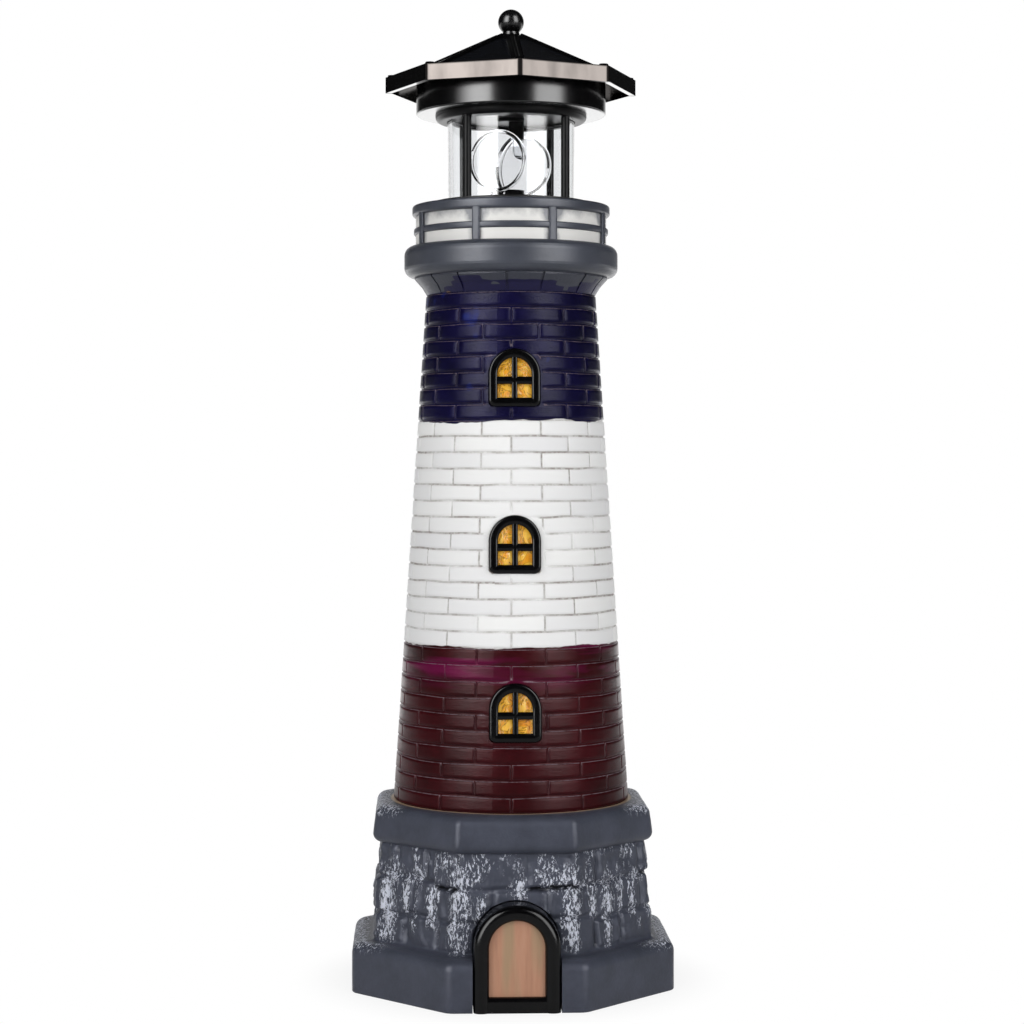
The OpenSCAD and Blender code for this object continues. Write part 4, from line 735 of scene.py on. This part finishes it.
finish = {
    "brick": paintedBrick(),
    "stone": dryBrushedStone(),
    "grey": greyGalleryPaint(),
    "corbel": raggedCorbelPaint(),
    "shadedWhite": shadedWhitePanels(),
    # thick glossy enamel, brushed on: dark with soft bright edges
    "enamel": plainFinish("thickBlackEnamel", "#040405", "#080809", 0.18, grain=3.846, depth=0.1, gleam=0.17),
    # injection-moulded ABS painted gloss black: reflections with a soft edge, hardly a texture
    "gloss": plainFinish("glossBlackAbs", "#060607", "#0b0b0c", 0.25, grain=2.0, depth=0.01, gleam=0.4),
    # the housing's satin black: reflections spread to soft bars
    "satin": plainFinish("satinBlackAbs", "#050506", "#09090a", 0.2, grain=1.111, depth=0.01, ior=1.46),
    # unpainted black mouldings of the lantern: a dull sheen
    "moulded": plainFinish("mouldedBlackAbs", "#0b0b0c", "#131314", 0.36, grain=0.8333, depth=0.03,
                           gleam=0.09),
    # the lamp base's broad top: dark, with a dull grey sheen that spreads over it
    "base": plainFinish("lampBaseBlackAbs", "#1d1d1e", "#272728", 0.42, grain=0.8333, depth=0.03, gleam=0.2),
    # bright plated steel on screws, spindle, shaft and contacts
    "steel": plainFinish("brightPlatedSteel", "#b4b4b2", "#c4c4c2", 0.25, grain=1.25, metallic=1.0),
    # natural nylon gears: milky and faintly waxy
    "nylon": plainFinish("naturalNylon", "#ded9ca", "#e9e5d9", 0.42, grain=1.667, ior=1.53),
    # circuit board under solder mask
    "board": plainFinish("greenSolderMask", "#1c4a26", "#265c31", 0.35, grain=2.5),
    # soft wire sleeve, a little dusty
    "wire": plainFinish("redPvcWire", "#6a1c1c", "#862424", 0.45, grain=2.0),
    # shrink sleeve drawn tight round the cell
    "sleeve": plainFinish("greenShrinkSleeve", "#2a6a3a", "#378048", 0.32, grain=2.0),
    "door": streakedDoorPaint(),
    "amber": amberPane(),
    "roof": roofGloss(),
    # the chimney mirrors the two soft boxes as bright upright bands
    "glass": clearPlastic("clearAcrylicTube", 1.49, "#fbfcfd", gleam=1.0),
    "lens": clearPlastic("clearAcrylicLens", 1.49, "#fdfdfe"),
    "led": clearPlastic("clearLedEpoxy", 1.53, "#f4f6f8", 0.02),
    "cell": solarGlass(),
}
print("finishes are made:", len(finish))


# The brick relief in mm; rows and columns are its grid lines above a course's foot and beside a joint
brick = {
    "perCourse": 10, "turn": -2.0, "midR": 38.0, "wall": 6.0, "insideSteps": 3, "away": 99.0,
    "jointW": 0.84, "jointDepth": 0.55, "jointSoft": 0.16, "waver": 0.16, "bulge": 0.03, "uneven": 0.07,
    "lumps": 0.03, "halo": 1.5, "haloLift": 0.12,
    "rows": (0.0, 0.22, 0.34, 0.46, 0.62, 1.6, 2.95, 4.3, 5.28, 5.44, 5.56, 5.68),
    "columns": (0.0, 0.22, 0.36, 0.50, 0.85, 3.2, 6.0),
}


def towerR(z):  # the tower's outer radius in mm at a height above its foot
    return build["towerFootR"] - build["slope"] * z


def windowHalo(t, z):  # 1 on the filler smeared round each window, easing to 0 away from it
    around = np.full(z.shape, brick["away"])
    spring = window["h"] - window["w"] / 2
    for k in range(len(window["names"])):
        side, up = towerR(z) * np.sin(t), z - window["low"] - k * window["pitch"] + window["h"] / 2
        out = np.where(up > spring, np.hypot(side, up - spring),
                       np.maximum(np.abs(side), window["w"] / 2 - up))
        around = np.minimum(around, np.where(np.cos(t) > 0, out - window["w"] / 2, brick["away"]))
    ragged = around + 0.4 * waves(t * brick["midR"], z, 7, 2, 9)
    return 1 - smooth(brick["halo"] - 0.5, brick["halo"] + 0.6, ragged)


def makeTower():
    # r(t, z) = tapering radius - depth in the joints + a slight crown and offset of each brick's own;
    # rows follow the courses and columns follow the upright joints, so the edges fall on grid lines
    h, count, around = build["courseH"], build["courses"], brick["perCourse"]
    step, start = 2 * np.pi / around, math.radians(brick["turn"])
    z = np.append((np.arange(count)[:, None] * h + np.array(brick["rows"])).ravel(), build["towerH"])
    near = np.array(brick["columns"]) / brick["midR"]
    t = (np.arange(2 * around)[:, None] * step / 2 + np.concatenate([-near[:0:-1], near])).ravel() + start
    t = t[np.append(np.diff(t) > 1e-4, True)]
    tt, zz = np.meshgrid(t, z)
    course = np.clip(np.floor(zz / h + 1e-6), 0, count - 1).astype(int)
    inside = zz - course * h
    lineGap = np.minimum(inside, h - inside)
    own = (tt - start) / step - (course % 2) / 2
    index = np.floor(own + 0.5).astype(int)
    sideGap = np.abs(own - index) * step * towerR(zz)
    sideGap = np.where(course == count - 1, brick["away"], sideGap)  # the top course is one plain ring
    jointHalf, soft = brick["jointW"] / 2, brick["jointSoft"]
    flat = smooth(jointHalf - soft, jointHalf + soft, lineGap)
    flat = flat * smooth(jointHalf - soft, jointHalf + 0.12, sideGap)
    halo = windowHalo(tt, zz)
    flat = np.maximum(flat, halo)  # no joints in the filler
    lay = np.floor(own).astype(int) % around
    offsets = draws.uniform(-1, 1, (count, around))
    tone = draws.uniform(0, 1, (count, around))
    crown = 1 - (2 * inside / h - 1) ** 2
    r = towerR(zz) - brick["jointDepth"] * (1 - flat)
    r = r + flat * (brick["bulge"] * (crown - 1) + brick["uneven"] * (offsets[course, lay] - 1) * 0.5)
    r = r + brick["lumps"] * waves(tt * brick["midR"], zz, 14, 3, 3) + brick["haloLift"] * halo
    lines = waves(tt * brick["midR"], np.round(zz / h) * 40, 30, 2, 5) * brick["waver"]
    zShift = lines * (1 - smooth(0, 2.2, lineGap)) * (zz > 0.3) * (zz < build["towerH"] - 0.3)
    outer = np.stack([r * np.sin(tt), -r * np.cos(tt), zz + zShift + build["towerZ"]], -1)
    inner = []
    for share in np.linspace(1, 0, brick["insideSteps"]):
        ri = towerR(share * build["towerH"]) - brick["wall"]
        height = np.full(len(t), build["towerZ"] + share * build["towerH"])
        inner.append(np.stack([ri * np.sin(t), -ri * np.cos(t), height], -1))
    points = np.concatenate([outer, np.stack(inner)])
    plain = np.zeros((brick["insideSteps"], len(t)))
    fields = {"joint": np.concatenate([1 - flat, plain]),
              "ownTone": np.concatenate([tone[course, lay], plain])}
    faces = gridFaces(len(points), len(t), closeRows=True)
    return makePiece("brick_tower", [(points, faces)], finish["brick"], "tower",
                     ["tower_shell"],
                     fields=fields)


def archSolid(width, height, base, depth, transform, corner=0.0):
    # a closed arch prism of points in mm and faces, from base to base + depth, placed by transform(points)
    outline = archPath(width / 2, height - width / 2, 0.0, 24, corner)
    count = len(outline)
    near = np.column_stack([outline, np.full(count, base)])
    far = np.column_stack([outline, np.full(count, base + depth)])
    faces = [list(range(count))[::-1], [count + i for i in range(count)]]
    faces += [[i, (i + 1) % count, count + (i + 1) % count, count + i] for i in range(count)]
    return transform(np.concatenate([near, far])), faces


def cutAway(piece, solid, sharp=None):  # takes a solid of (points in mm, faces) out of the piece
    mesh = bpy.data.meshes.new("cutter")
    mesh.from_pydata((solid[0] * mm).tolist(), [], solid[1])
    turnOutward(mesh)
    cutter = addObject("cutter", mesh)
    change = piece.modifiers.new("cut", "BOOLEAN")
    change.operation, change.object, change.solver = "DIFFERENCE", cutter, "MANIFOLD"
    graph = bpy.context.evaluated_depsgraph_get()
    fresh = bpy.data.meshes.new_from_object(piece.evaluated_get(graph))
    piece.modifiers.clear()
    old = piece.data
    piece.data = fresh
    fresh.name = old.name
    bpy.data.meshes.remove(old)
    bpy.data.objects.remove(cutter)
    bpy.data.meshes.remove(mesh)
    shadeSoft(fresh, sharp)


# Sizes in mm; low is the lowest window's middle above the tower's foot, pitch the step from one to the next
window = {
    "names": ("lower", "middle", "upper"), "w": 18.9, "h": 21.2, "low": 36.0, "pitch": 60.5, "pocket": 3.1,
    "bead": 3.3, "bar": 2.2, "cross": 2.8, "crossDrop": 1.0, "proud": 1.2, "barBack": 0.35, "backing": 1.9,
    "power": 0.5, "corner": 0.9, "gap": 0.12, "pane": 1.8, "paneGap": 1.1, "paneCorner": 1.0,
}


def windowPlace(i):
    # gives a function that takes (x, height, out) of window i from its leaning face to the object's frame
    z = window["low"] + i * window["pitch"]
    tilt = math.atan(build["slope"])
    foot = np.array([0, -towerR(z), build["towerZ"] + z])
    up = np.array([0, math.sin(tilt), math.cos(tilt)])
    out = np.array([0, -math.cos(tilt), math.sin(tilt)])

    def place(points):
        side = points[:, :1] * np.array([1, 0, 0])
        return foot + side + (points[:, 1:2] - window["h"] / 2) * up + points[:, 2:] * out
    return place


def makeWindowFrame(i, name):
    # a soft bead carried round the arch, and two bars that meet in the middle
    w, h, bead = window["w"], window["h"], window["bead"]
    place = windowPlace(i)
    radius = w / 2 - bead / 2
    loop = archPath(radius, h - w / 2, bead / 2, 28, window["corner"])
    loop = np.column_stack([loop[:, 0], loop[:, 1], np.zeros(len(loop))])
    steps = np.linspace(0, 1, 14)
    upright = np.column_stack([0 * steps, bead * 0.6 + steps * (h - bead * 1.2), 0 * steps])
    cross = np.column_stack([(steps - 0.5) * 2 * radius, 0 * steps + h / 2 - window["crossDrop"], 0 * steps])
    parts = []
    for path, width, back, closed in ((loop, "bead", 0, True), (upright, "bar", window["barBack"], False),
                                      (cross, "cross", window["barBack"], False)):
        section = softBar(window[width], -window["backing"], window["proud"] - back, window["power"])
        points, faces = carried(path, section, (0, 0, 1), closed)
        parts.append((place(points.reshape(-1, 3)), faces))
    return makePiece("window_bead_" + name, parts, finish["enamel"], "tower",
                     ["window_frame_" + name], sharp=70)


def makePane(i, name):  # an arch of resin with rounded foot corners, let in behind the bead
    gap = window["paneGap"]
    solid = archSolid(window["w"] - 2 * gap, window["h"] - 2 * gap, -window["pocket"] + 0.01, window["pane"],
                      lambda points: windowPlace(i)(points + (0, gap, 0)), window["paneCorner"])
    return makePiece("amber_pane_" + name, [solid], finish["amber"], "tower",
                     ["window_pane_" + name], sharp=40)


tower = makeTower()
for i, name in enumerate(window["names"]):
    pocket = archSolid(window["w"] + 2 * window["gap"], window["h"] + window["gap"], -window["pocket"],
                       window["pocket"] + 3, windowPlace(i), window["corner"] + 1)
    cutAway(tower, pocket, sharp=60)
    makeWindowFrame(i, name)
    makePane(i, name)
print("tower and windows are in place")


# The stone wall in mm: standOut is (course, along the wall, how much), runs are (along, low, high, width)
# of the white that was brushed downwards, cracks are (from, to) along the wall
rock = {
    "courses": 3, "blocks": (17, 15, 18), "gapDepth": 0.8, "gapW": 0.9, "proud": 0.75, "stepUp": 1.3,
    "lineWave": 0.35, "chisel": 0.28, "flutes": 0.34, "castWave": 0.05, "crackDepth": 0.9,
    "faceColumns": 40, "cornerColumns": 6, "wallRows": 62, "wallR": 51.0, "inside": 40.0, "ceiling": 61.0,
    "cracks": ((-31.5, -21.5), (4.5, 23.5), (58, 70), (-92, -80), (120, 134)),
    "standOut": ((1, -86, 2.1), (1, -64, 1.5), (2, 70, 1.6), (0, 92, 1.6)),
    "runs": (
        (-54.4, 19, 46, 7.5), (-46, 30, 44, 4.0), (-33, 26, 42, 4.0), (-20.3, 19, 50, 7.5),
        (-13, 24, 40, 3.4), (1.8, 36, 47, 4.4), (9, 42, 50, 4.0), (19.6, 20, 51, 6.0),
        (30, 30, 44, 4.0), (36.7, 19, 42, 5.0), (45, 30, 44, 3.6), (51, 28, 42, 3.0),
        (-74, 22, 49, 5.4), (64, 20, 46, 5.2), (76, 34, 50, 4.0), (90, 24, 46, 5.0),
        (-98, 20, 44, 6.0), (112, 22, 50, 5.6), (-115, 34, 50, 4.0), (-128, 24, 46, 6.2),
        (127, 30, 46, 4.0), (140, 20, 46, 5.2), (-150, 22, 50, 5.0)),
}


def octagonRow(apothem, corner, columns, arcs):
    # one ring of a rounded octagon, a side to the front: straight sides at the apothem, corners of a given
    # radius; each row is x, y and the outward direction there
    u = np.linspace(-1, 1, columns)
    eighth = math.radians(22.5)
    a = np.linspace(-eighth, eighth, arcs + 2)[1:-1] + eighth
    inner = apothem - corner
    half = inner * math.tan(eighth)
    x = np.concatenate([u * half, half + corner * np.sin(a)])
    y = np.concatenate([np.full(columns, -apothem), -inner - corner * np.cos(a)])
    nx = np.concatenate([np.zeros(columns), np.sin(a)])
    ny = np.concatenate([-np.ones(columns), -np.cos(a)])
    rows = []
    for face in range(8):
        c, s = math.cos(2 * eighth * face), math.sin(2 * eighth * face)
        rows.append(np.stack([x * c - y * s, x * s + y * c, nx * c - ny * s, nx * s + ny * c], -1))
    return np.concatenate(rows)


def plinthProfile():
    # (apothem, z) up the slab, the ledge, the wall and the cap, over the top and down the hollow inside;
    # and which of its rows lie on the wall
    b = build
    slabSide = arcPoints(b["slabAcross"] / 2 - 0.6, 0.6, 0.6, -90, 0, 3)
    slabTop = arcPoints(b["slabAcross"] / 2 - b["slabRound"], b["slabH"] - b["slabRound"], b["slabRound"],
                        0, 90, 8)
    ledge = [[b["wallFoot"] / 2 + 1.4, b["slabH"] + 0.1], [b["wallFoot"] / 2 + 0.4, b["slabH"] + 0.45]]
    wallZ = np.linspace(b["slabH"] + 1.0, b["wallTop"] - 0.8, rock["wallRows"])
    share = (wallZ - b["slabH"]) / (b["wallTop"] - b["slabH"])
    wall = np.column_stack([(b["wallFoot"] + (b["wallHead"] - b["wallFoot"]) * share) / 2, wallZ])
    under = [[b["wallHead"] / 2 + 0.1, b["wallTop"] - 0.15]]
    footR, topR = b["capFootRound"], b["capRound"]
    capFoot = arcPoints(b["capAcross"] / 2 - footR, b["wallTop"] + footR, footR, -90, 0, 7)
    capMid = [[b["capAcross"] / 2 - 0.2, 59.5], [b["capAcross"] / 2 - 0.5, 62.0]]
    capTop = arcPoints(b["capAcross"] / 2 - 0.8 - topR, b["towerZ"] - topR, topR, 0, 90, 7)
    over = [[apothem, b["towerZ"]] for apothem in (43.0, 30.0, 12.0, 0.01)]
    ceiling = [[apothem, rock["ceiling"]] for apothem in (0.01, 20.0, 34.0)]
    down = [[rock["inside"], z] for z in (48.5, 20.0, 0.0)]
    below = [[[rock["inside"] + 8, 0.0]], slabSide, [[b["slabAcross"] / 2, 7.0]], slabTop]
    profile = np.concatenate(below + [ledge, wall, under, capFoot, capMid, capTop, over, ceiling, down])
    first = sum(len(part) for part in below)
    onWall = np.zeros(len(profile), bool)
    onWall[first:first + len(ledge) + len(wall) + 1] = True
    return profile, onWall


def layBlocks(s, z):
    # each block stands out by its own amount, leans a little and falls to a gap at its edges: gives the
    # lift in mm, how deep in a gap each place is, and the lines between the courses
    foot, head, courses = build["slabH"], build["wallTop"], range(rock["courses"])
    height, around = (head - foot) / rock["courses"], 2 * np.pi * rock["wallR"]
    lineWave = rock["lineWave"] * waves(s, 0 * s, 22, 2, 11)
    layout = []
    for count in rock["blocks"]:
        cuts = (np.arange(count) + draws.uniform(-0.24, 0.24, count)) / count * around - around / 2
        layout.append((cuts, draws.uniform(-1, 1, count + 1), draws.uniform(0, 1, count + 1),
                       draws.uniform(-1, 1, count + 1)))
    for course, place, much in rock["standOut"]:
        layout[course][2][np.searchsorted(layout[course][0], place)] = much
    stepTop = [lineWave + rock["stepUp"] * layout[c][1][np.searchsorted(layout[c][0], s)] for c in courses]
    between = [foot + height * (c + 1) + stepTop[c] for c in courses[:-1]]
    lines = [foot - 2 + 0 * s] + between + [head + 2 + 0 * s]
    lift, gap = np.zeros(s.shape), np.zeros(s.shape)
    for c in courses:
        cuts, _, proud, lean = layout[c]
        here = (z >= lines[c]) & (z < lines[c + 1])
        k = np.searchsorted(cuts, s)
        left = np.mod(s - cuts[(k - 1) % len(cuts)], around)
        right = np.mod(cuts[k % len(cuts)] - s, around)
        edge = np.minimum(np.minimum(left, right), np.minimum(z - lines[c], lines[c + 1] - z))
        rise = smooth(0.05, rock["gapW"] + 0.6, edge)
        tilt = lean[k] * (z - (lines[c] + lines[c + 1]) / 2) / height * 0.5
        lift = np.where(here, rise * (rock["proud"] * proud[k] + tilt) - rock["gapDepth"] * (1 - rise), lift)
        gap = np.where(here, 1 - smooth(0.0, 0.75, edge), gap)
    return lift, gap, lines


def brushRuns(s, z, rough, onWall, crack):
    # how much white lies on each place of the wall: upright runs with ragged sides, specks high up and thin
    # trails, all caught more where the stone is rough
    drift = waves(s, z * 0.4, 10, 3, 41)
    runs = np.zeros(s.shape)
    for place, low, top, width in rock["runs"]:
        across = np.abs(s - place - 0.5 * drift)
        along = smooth(low - 1.5, low + 4, z) * (1 - smooth(top - 3, top + 1, z))
        runs = np.maximum(runs,
                          (1 - smooth(width * 0.15, width * 0.7, across)) * along * (0.62 + 0.12 * drift))
    catches = smooth(-0.1, 0.9, rough / rock["chisel"])
    specks = 0.46 * smooth(-0.3, 0.8, waves(s, z * 0.8, 16, 3, 43)) * smooth(38, 43, z)
    trails = 0.4 * smooth(0.3, 1.0, waves(s * 1.6, z * 0.2, 10, 3, 45)) * smooth(22, 28, z)
    runs = np.maximum(runs * (0.8 + 0.5 * catches), np.maximum(specks, trails) * (0.55 + 0.6 * catches))
    return np.clip(runs, 0, 1) * onWall[:, None] * (1 - crack)


def makePlinth():
    # rings of a rounded octagon stacked up the profile; the blocks' relief and a chiselled waviness push
    # the wall outward along each ring's own direction
    profile, onWall = plinthProfile()
    corner = np.interp(profile[:, 1], [0, 18, 19, 54, 55.5, 68], [5.0, 4.6, 2.2, 2.2, 3.6, 3.6])
    corner = np.minimum(corner, profile[:, 0] * 0.4)
    rings = np.stack([octagonRow(apothem, bend, rock["faceColumns"], rock["cornerColumns"])
                      for (apothem, _), bend in zip(profile, corner)])
    x, y, nx, ny = (rings[..., k] for k in range(4))
    z = np.repeat(profile[:, 1:], x.shape[1], 1)
    s = np.arctan2(x, -y) * rock["wallR"]  # mm along the wall from the middle of the door
    lift, gap, lines = layBlocks(s, z)
    rough = waves(s, z * 0.7, 9, 4, 21) + 0.8 * np.abs(waves(s * 1.5, z * 0.45, 5, 3, 22)) - 0.4
    rough = rock["chisel"] * rough + rock["flutes"] * (np.abs(waves(s * 1.5, z * 0.22, 9, 2, 23)) - 0.5)
    # ragged dark cracks along the upper line between the courses
    ragged = np.abs(z - lines[2] + 0.5 * waves(s * 2, z, 7, 3, 25))
    cracked = sum(smooth(a - 1, a + 1, s) * (1 - smooth(b - 1, b + 1, s)) for a, b in rock["cracks"])
    crack = (1 - smooth(0.35, 0.85, ragged)) * cracked
    foot, head = build["slabH"], build["wallTop"]
    fade = smooth(foot + 0.2, foot + 2.5, z) * (1 - smooth(head - 1.6, head - 0.2, z))
    lift = (lift - rock["crackDepth"] * crack + rough) * fade * onWall[:, None]
    soft = rock["castWave"] * waves(s, z, 26, 2, 31) * (profile[:, :1] > rock["inside"] + 5)
    x, y = x + nx * (lift + soft), y + ny * (lift + soft)
    runs = brushRuns(s, z, rough, onWall, crack)
    # a dry brush over the slab's and the cap's far upper edges
    edges = np.exp(-((z - foot) / 2.2) ** 2) + np.exp(-((z - build["towerZ"] + 0.5) / 2.0) ** 2)
    corners = 0.5 * smooth(38, 46, np.abs(x)) * edges * smooth(-38, -20, y) * (profile[:, :1] > 46)
    runs = np.maximum(runs, np.clip(corners, 0, 1) * ~onWall[:, None])
    gap = np.maximum(0.6 * gap * smooth(-0.3, 0.9, waves(s, z, 19, 2, 51)), crack) * fade * onWall[:, None]
    faces = gridFaces(len(profile), x.shape[1], closeRows=True)
    return makePiece("stone_plinth", [(np.stack([x, y, z], -1), faces)], finish["stone"], "tower",
                     ["plinth"], fields={"gap": gap, "runs": runs}, mergeAt=4e-5)


# The door surround in mm; front and back are depths from the object's middle
door = {
    "w": 31.0, "h": 38.0, "band": 5.6, "power": 0.9, "crown": 2.7, "front": 60.25, "back": 46.25,
    "sill": 5.5, "sillRound": 1.5, "sillBack": 0.9, "gap": 0.3, "niche": 16,
}


def makeDoorFrame():
    # a full round-fronted band carried up, over and down the arch, with a flat-topped sill between its feet
    radius = door["w"] / 2 - door["band"] / 2
    outline = archPath(radius, door["h"] - door["w"] / 2, 0.15, 36)
    path = np.column_stack([outline[:, 0], np.full(len(outline), 0.0), outline[:, 1]])
    a = np.radians(np.linspace(0, 180, 15))
    edge = door["band"] / 2
    across, out = np.abs(np.cos(a)) ** door["power"], np.abs(np.sin(a)) ** door["power"]
    bulge = np.column_stack([edge * np.sign(np.cos(a)) * across, door["front"] - door["crown"] * (1 - out)])
    section = np.concatenate([[[edge, door["back"]]], bulge, [[-edge, door["back"]]]])
    band = carried(path, section, (0, -1, 0))
    half, lip, soft = door["w"] / 2 - 1.5, door["front"] - door["sillBack"], door["sillRound"]
    sill = np.concatenate([[[door["back"], 0.1], [lip, 0.1]],
                           arcPoints(lip - soft, door["sill"] - soft, soft, 0, 90, 6),
                           [[door["back"], door["sill"]]]])
    across = np.linspace(-half, half, 9)
    points = np.stack([np.column_stack([np.full(len(sill), x), -sill[:, 0], sill[:, 1]]) for x in across])
    last = (len(across) - 1) * len(sill)
    faces = gridFaces(len(across), len(sill)).tolist()
    faces += [list(range(len(sill))), [last + i for i in range(len(sill))]]
    return makePiece("door_surround", [band, (points, faces)], finish["enamel"], "tower",
                     ["door_frame"], sharp=50)


plinth = makePlinth()
niche = archSolid(door["w"] + 2 * door["gap"], door["h"] + door["gap"] + 2, door["back"], door["niche"],
                  lambda points: np.column_stack([points[:, 0], -points[:, 2], points[:, 1] - 2]))
cutAway(plinth, niche, sharp=70)
makeDoorFrame()
dress(finish["door"], "door_panel")
print("plinth and door are in place")


# The railing in mm; r is its outer radius, heights are above the gallery floor
rail = {
    "r": 37.2, "inner": 33.4, "h": 15.2, "topH": 4.0, "topRound": 1.0, "midH": 2.5, "midZ": 5.4,
    "midBack": 0.6,
    "back": 1.3, "posts": 8, "postW": 3.1,
}


def makeRailing():
    # a top rail and a middle rail turned from soft profiles, and eight soft-edged posts bent to the drum
    z0 = build["galleryZ"]
    top = z0 + rail["h"]
    r = rail["r"]
    inner = rail["inner"]
    topRail = np.concatenate([
        [[inner, top - rail["topH"]], [r - 1.6, top - rail["topH"]]],
        arcPoints(r - rail["topRound"], top - rail["topH"] + rail["topRound"], rail["topRound"], -70, 0, 6),
        arcPoints(r - rail["topRound"], top - rail["topRound"], rail["topRound"], 0, 90, 7),
        [[inner + 0.4, top], [inner, top - 0.4]]])
    mid = z0 + rail["midZ"]
    midOut = r - rail["midBack"]
    hold = r - rail["back"] + 0.05
    midRail = np.concatenate([[[hold, mid - rail["midH"] / 2]],
                              arcPoints(midOut - 0.6, mid - rail["midH"] / 2 + 0.6, 0.6, -90, 0, 4),
                              arcPoints(midOut - 0.6, mid + rail["midH"] / 2 - 0.6, 0.6, 0, 90, 4),
                              [[hold, mid + rail["midH"] / 2]]])
    parts = [turned(topRail, 144), turned(midRail, 144)]
    section = softBar(rail["postW"], hold, r - 0.1, 0.55, 24)
    section[:, 1] = np.maximum(section[:, 1], hold)
    for k in range(rail["posts"]):
        t = math.radians((k + 0.5) * 360 / rail["posts"])
        out, across = np.array([math.sin(t), -math.cos(t), 0]), np.array([math.cos(t), math.sin(t), 0])
        levels = np.linspace(z0, top - rail["topH"] / 2, 8)[:, None, None] * np.array([0, 0, 1])
        points = section[None, :, 1:] * out + section[None, :, :1] * across + levels
        ring, last = np.arange(len(section)), (len(levels) - 1) * len(section)
        faces = gridFaces(len(levels), len(section)).tolist() + [ring, ring + last]
        parts.append((points, faces))
    return makePiece("gallery_rails", parts, finish["grey"], "tower", ["gallery_railing"],
                     sharp=60)


makeRailing()
dress(finish["grey"], "gallery_deck")
dress(finish["shadedWhite"], "parapet_wall")
dress(finish["corbel"], "corbel_ring")
print("gallery is in place")


# The collar in mm; h and ceiling are heights above its foot, hole is where the LED's socket passes
collar = {"r": 28.5, "round": 2.0, "h": 2.6, "ceiling": 1.4, "glassR": 24.2, "hole": 5.1}


def makeCollar():
    # the ring under the housing, turned from its lip: a rounded lower edge outside, a raised ceiling inside
    # the glass
    z0 = build["collarZ"]
    profile = np.concatenate([
        [[collar["glassR"], z0], [26.0, z0]],
        arcPoints(collar["r"] - collar["round"], z0 + collar["round"], collar["round"], -90, 0, 8),
        [[collar["r"], z0 + collar["h"]], [collar["hole"], z0 + collar["h"]],
         [collar["hole"], z0 + collar["ceiling"]], [collar["glassR"], z0 + collar["ceiling"]]]])
    return makePiece("collar_ring", [turned(profile, 144)], finish["moulded"], "lamp_head",
                     ["chimney_collar"], sharp=40)


# The LED's socket in mm; top and foot are heights above the ground
holder = {"r": 5.0, "flange": 2.4, "neckR": 2.9, "top": 324.8, "foot": 315.6}


def middleOf(name):  # the middle of a CAD node's box in mm
    corners = np.array([corner[:] for corner in nodes[name].bound_box])
    return (corners.min(0) + corners.max(0)) / 2 / mm


def makeHolder():
    # a stepped socket turned from its profile: a flange at the ceiling and a neck just wider than the LED
    h = holder
    step = h["top"] - h["flange"]
    flange = [[0, h["top"]], [h["r"], h["top"]], [h["r"], step + 0.4], [h["r"] - 0.4, step], [0, step]]
    neck = [[0, step + 0.2], [h["neckR"], step + 0.2], [h["neckR"], h["foot"] + 0.3],
            [h["neckR"] - 0.3, h["foot"]],
            [0, h["foot"]]]
    parts = []
    for profile, name in ((flange, "led_holder"), (neck, "led")):
        points, faces = turned(profile, 48)
        parts.append((points + middleOf(name) * (1, 1, 0), faces))
    return makePiece("led_socket", parts, finish["moulded"], "lamp_head", ["led_holder"],
                     sharp=40)


# A bull's-eye lens in mm; reach is its distance from the tower's axis, turn the beam's angle in degrees
lens = {"r": 11.7, "rimW": 1.5, "rimT": 2.7, "bulge": 1.5, "reach": 9.2, "z": 306.7, "turn": -29.5,
        "footW": 5.0, "footZ": 292.6}


def makeLens(name, turn):
    # turned round the beam: a plate of even back and bulging front inside a round-edged rim, on a small foot
    rim, half = lens["r"] - lens["rimW"] / 2, lens["rimT"] / 2
    edge = arcPoints(0, 0, 1, -155, 155, 20) * (lens["rimW"] / 2, half) + (rim, half)
    steps = np.linspace(1, 0, 8)[:, None]
    inner = edge[-1, 0]
    front = np.hstack([inner * steps, edge[-1, 1] - 0.25 + lens["bulge"] * (1 - steps ** 2)])
    back = np.hstack([inner * steps[::-1], 0.6 + 0 * steps])
    points, faces = turned(np.concatenate([back, edge, front]), 96)
    t = math.radians(turn)
    out, across = np.array([math.sin(t), -math.cos(t), 0]), np.array([math.cos(t), math.sin(t), 0])
    up = np.array([0, 0, 1])
    flat = points.reshape(-1, 3)
    disc = flat[:, :1] * across + flat[:, 1:2] * up + (flat[:, 2:] + lens["reach"]) * out + lens["z"] * up
    w, low, high = lens["footW"] / 2, lens["footZ"], lens["z"] - lens["r"] + 0.5
    box = np.array([[a, b, c] for a in (-w, w) for b in (0.2, 1.8) for c in (low, high)])
    foot = box[:, :1] * across + (box[:, 1:2] + lens["reach"]) * out + box[:, 2:] * up
    sides = [[0, 1, 3, 2], [4, 6, 7, 5], [0, 4, 5, 1], [2, 3, 7, 6], [0, 2, 6, 4], [1, 5, 7, 3]]
    return makePiece("bullseye_" + name, [(disc, faces), (foot, sides)], finish["lens"], "beacon",
                     ["lens_" + name], sharp=35)


makeCollar()
makeHolder()
makeLens("front", lens["turn"])
makeLens("rear", lens["turn"] + 180)
worn = {
    "base": ("lamp_base",), "gloss": ("ball_finial",), "roof": ("roof_cap",), "satin": ("drum_housing",),
    "moulded": ("lamp_base_cover", "lantern_posts", "turntable", "battery_holder", "switch_knob"),
    "steel": ("cover_screws", "motor_case", "battery_contacts", "switch_case", "spindle", "motor_shaft"),
    "nylon": ("drive_gear", "motor_pinion"), "board": ("circuit_board",), "wire": ("motor_wires",),
    "sleeve": ("rechargeable_cell",), "glass": ("glass_chimney",), "led": ("led",),
    "cell": ["solar_cell_%d" % k for k in range(1, 9)],
}
for name, names in worn.items():
    dress(finish[name], *names)
print("lamp head is dressed")
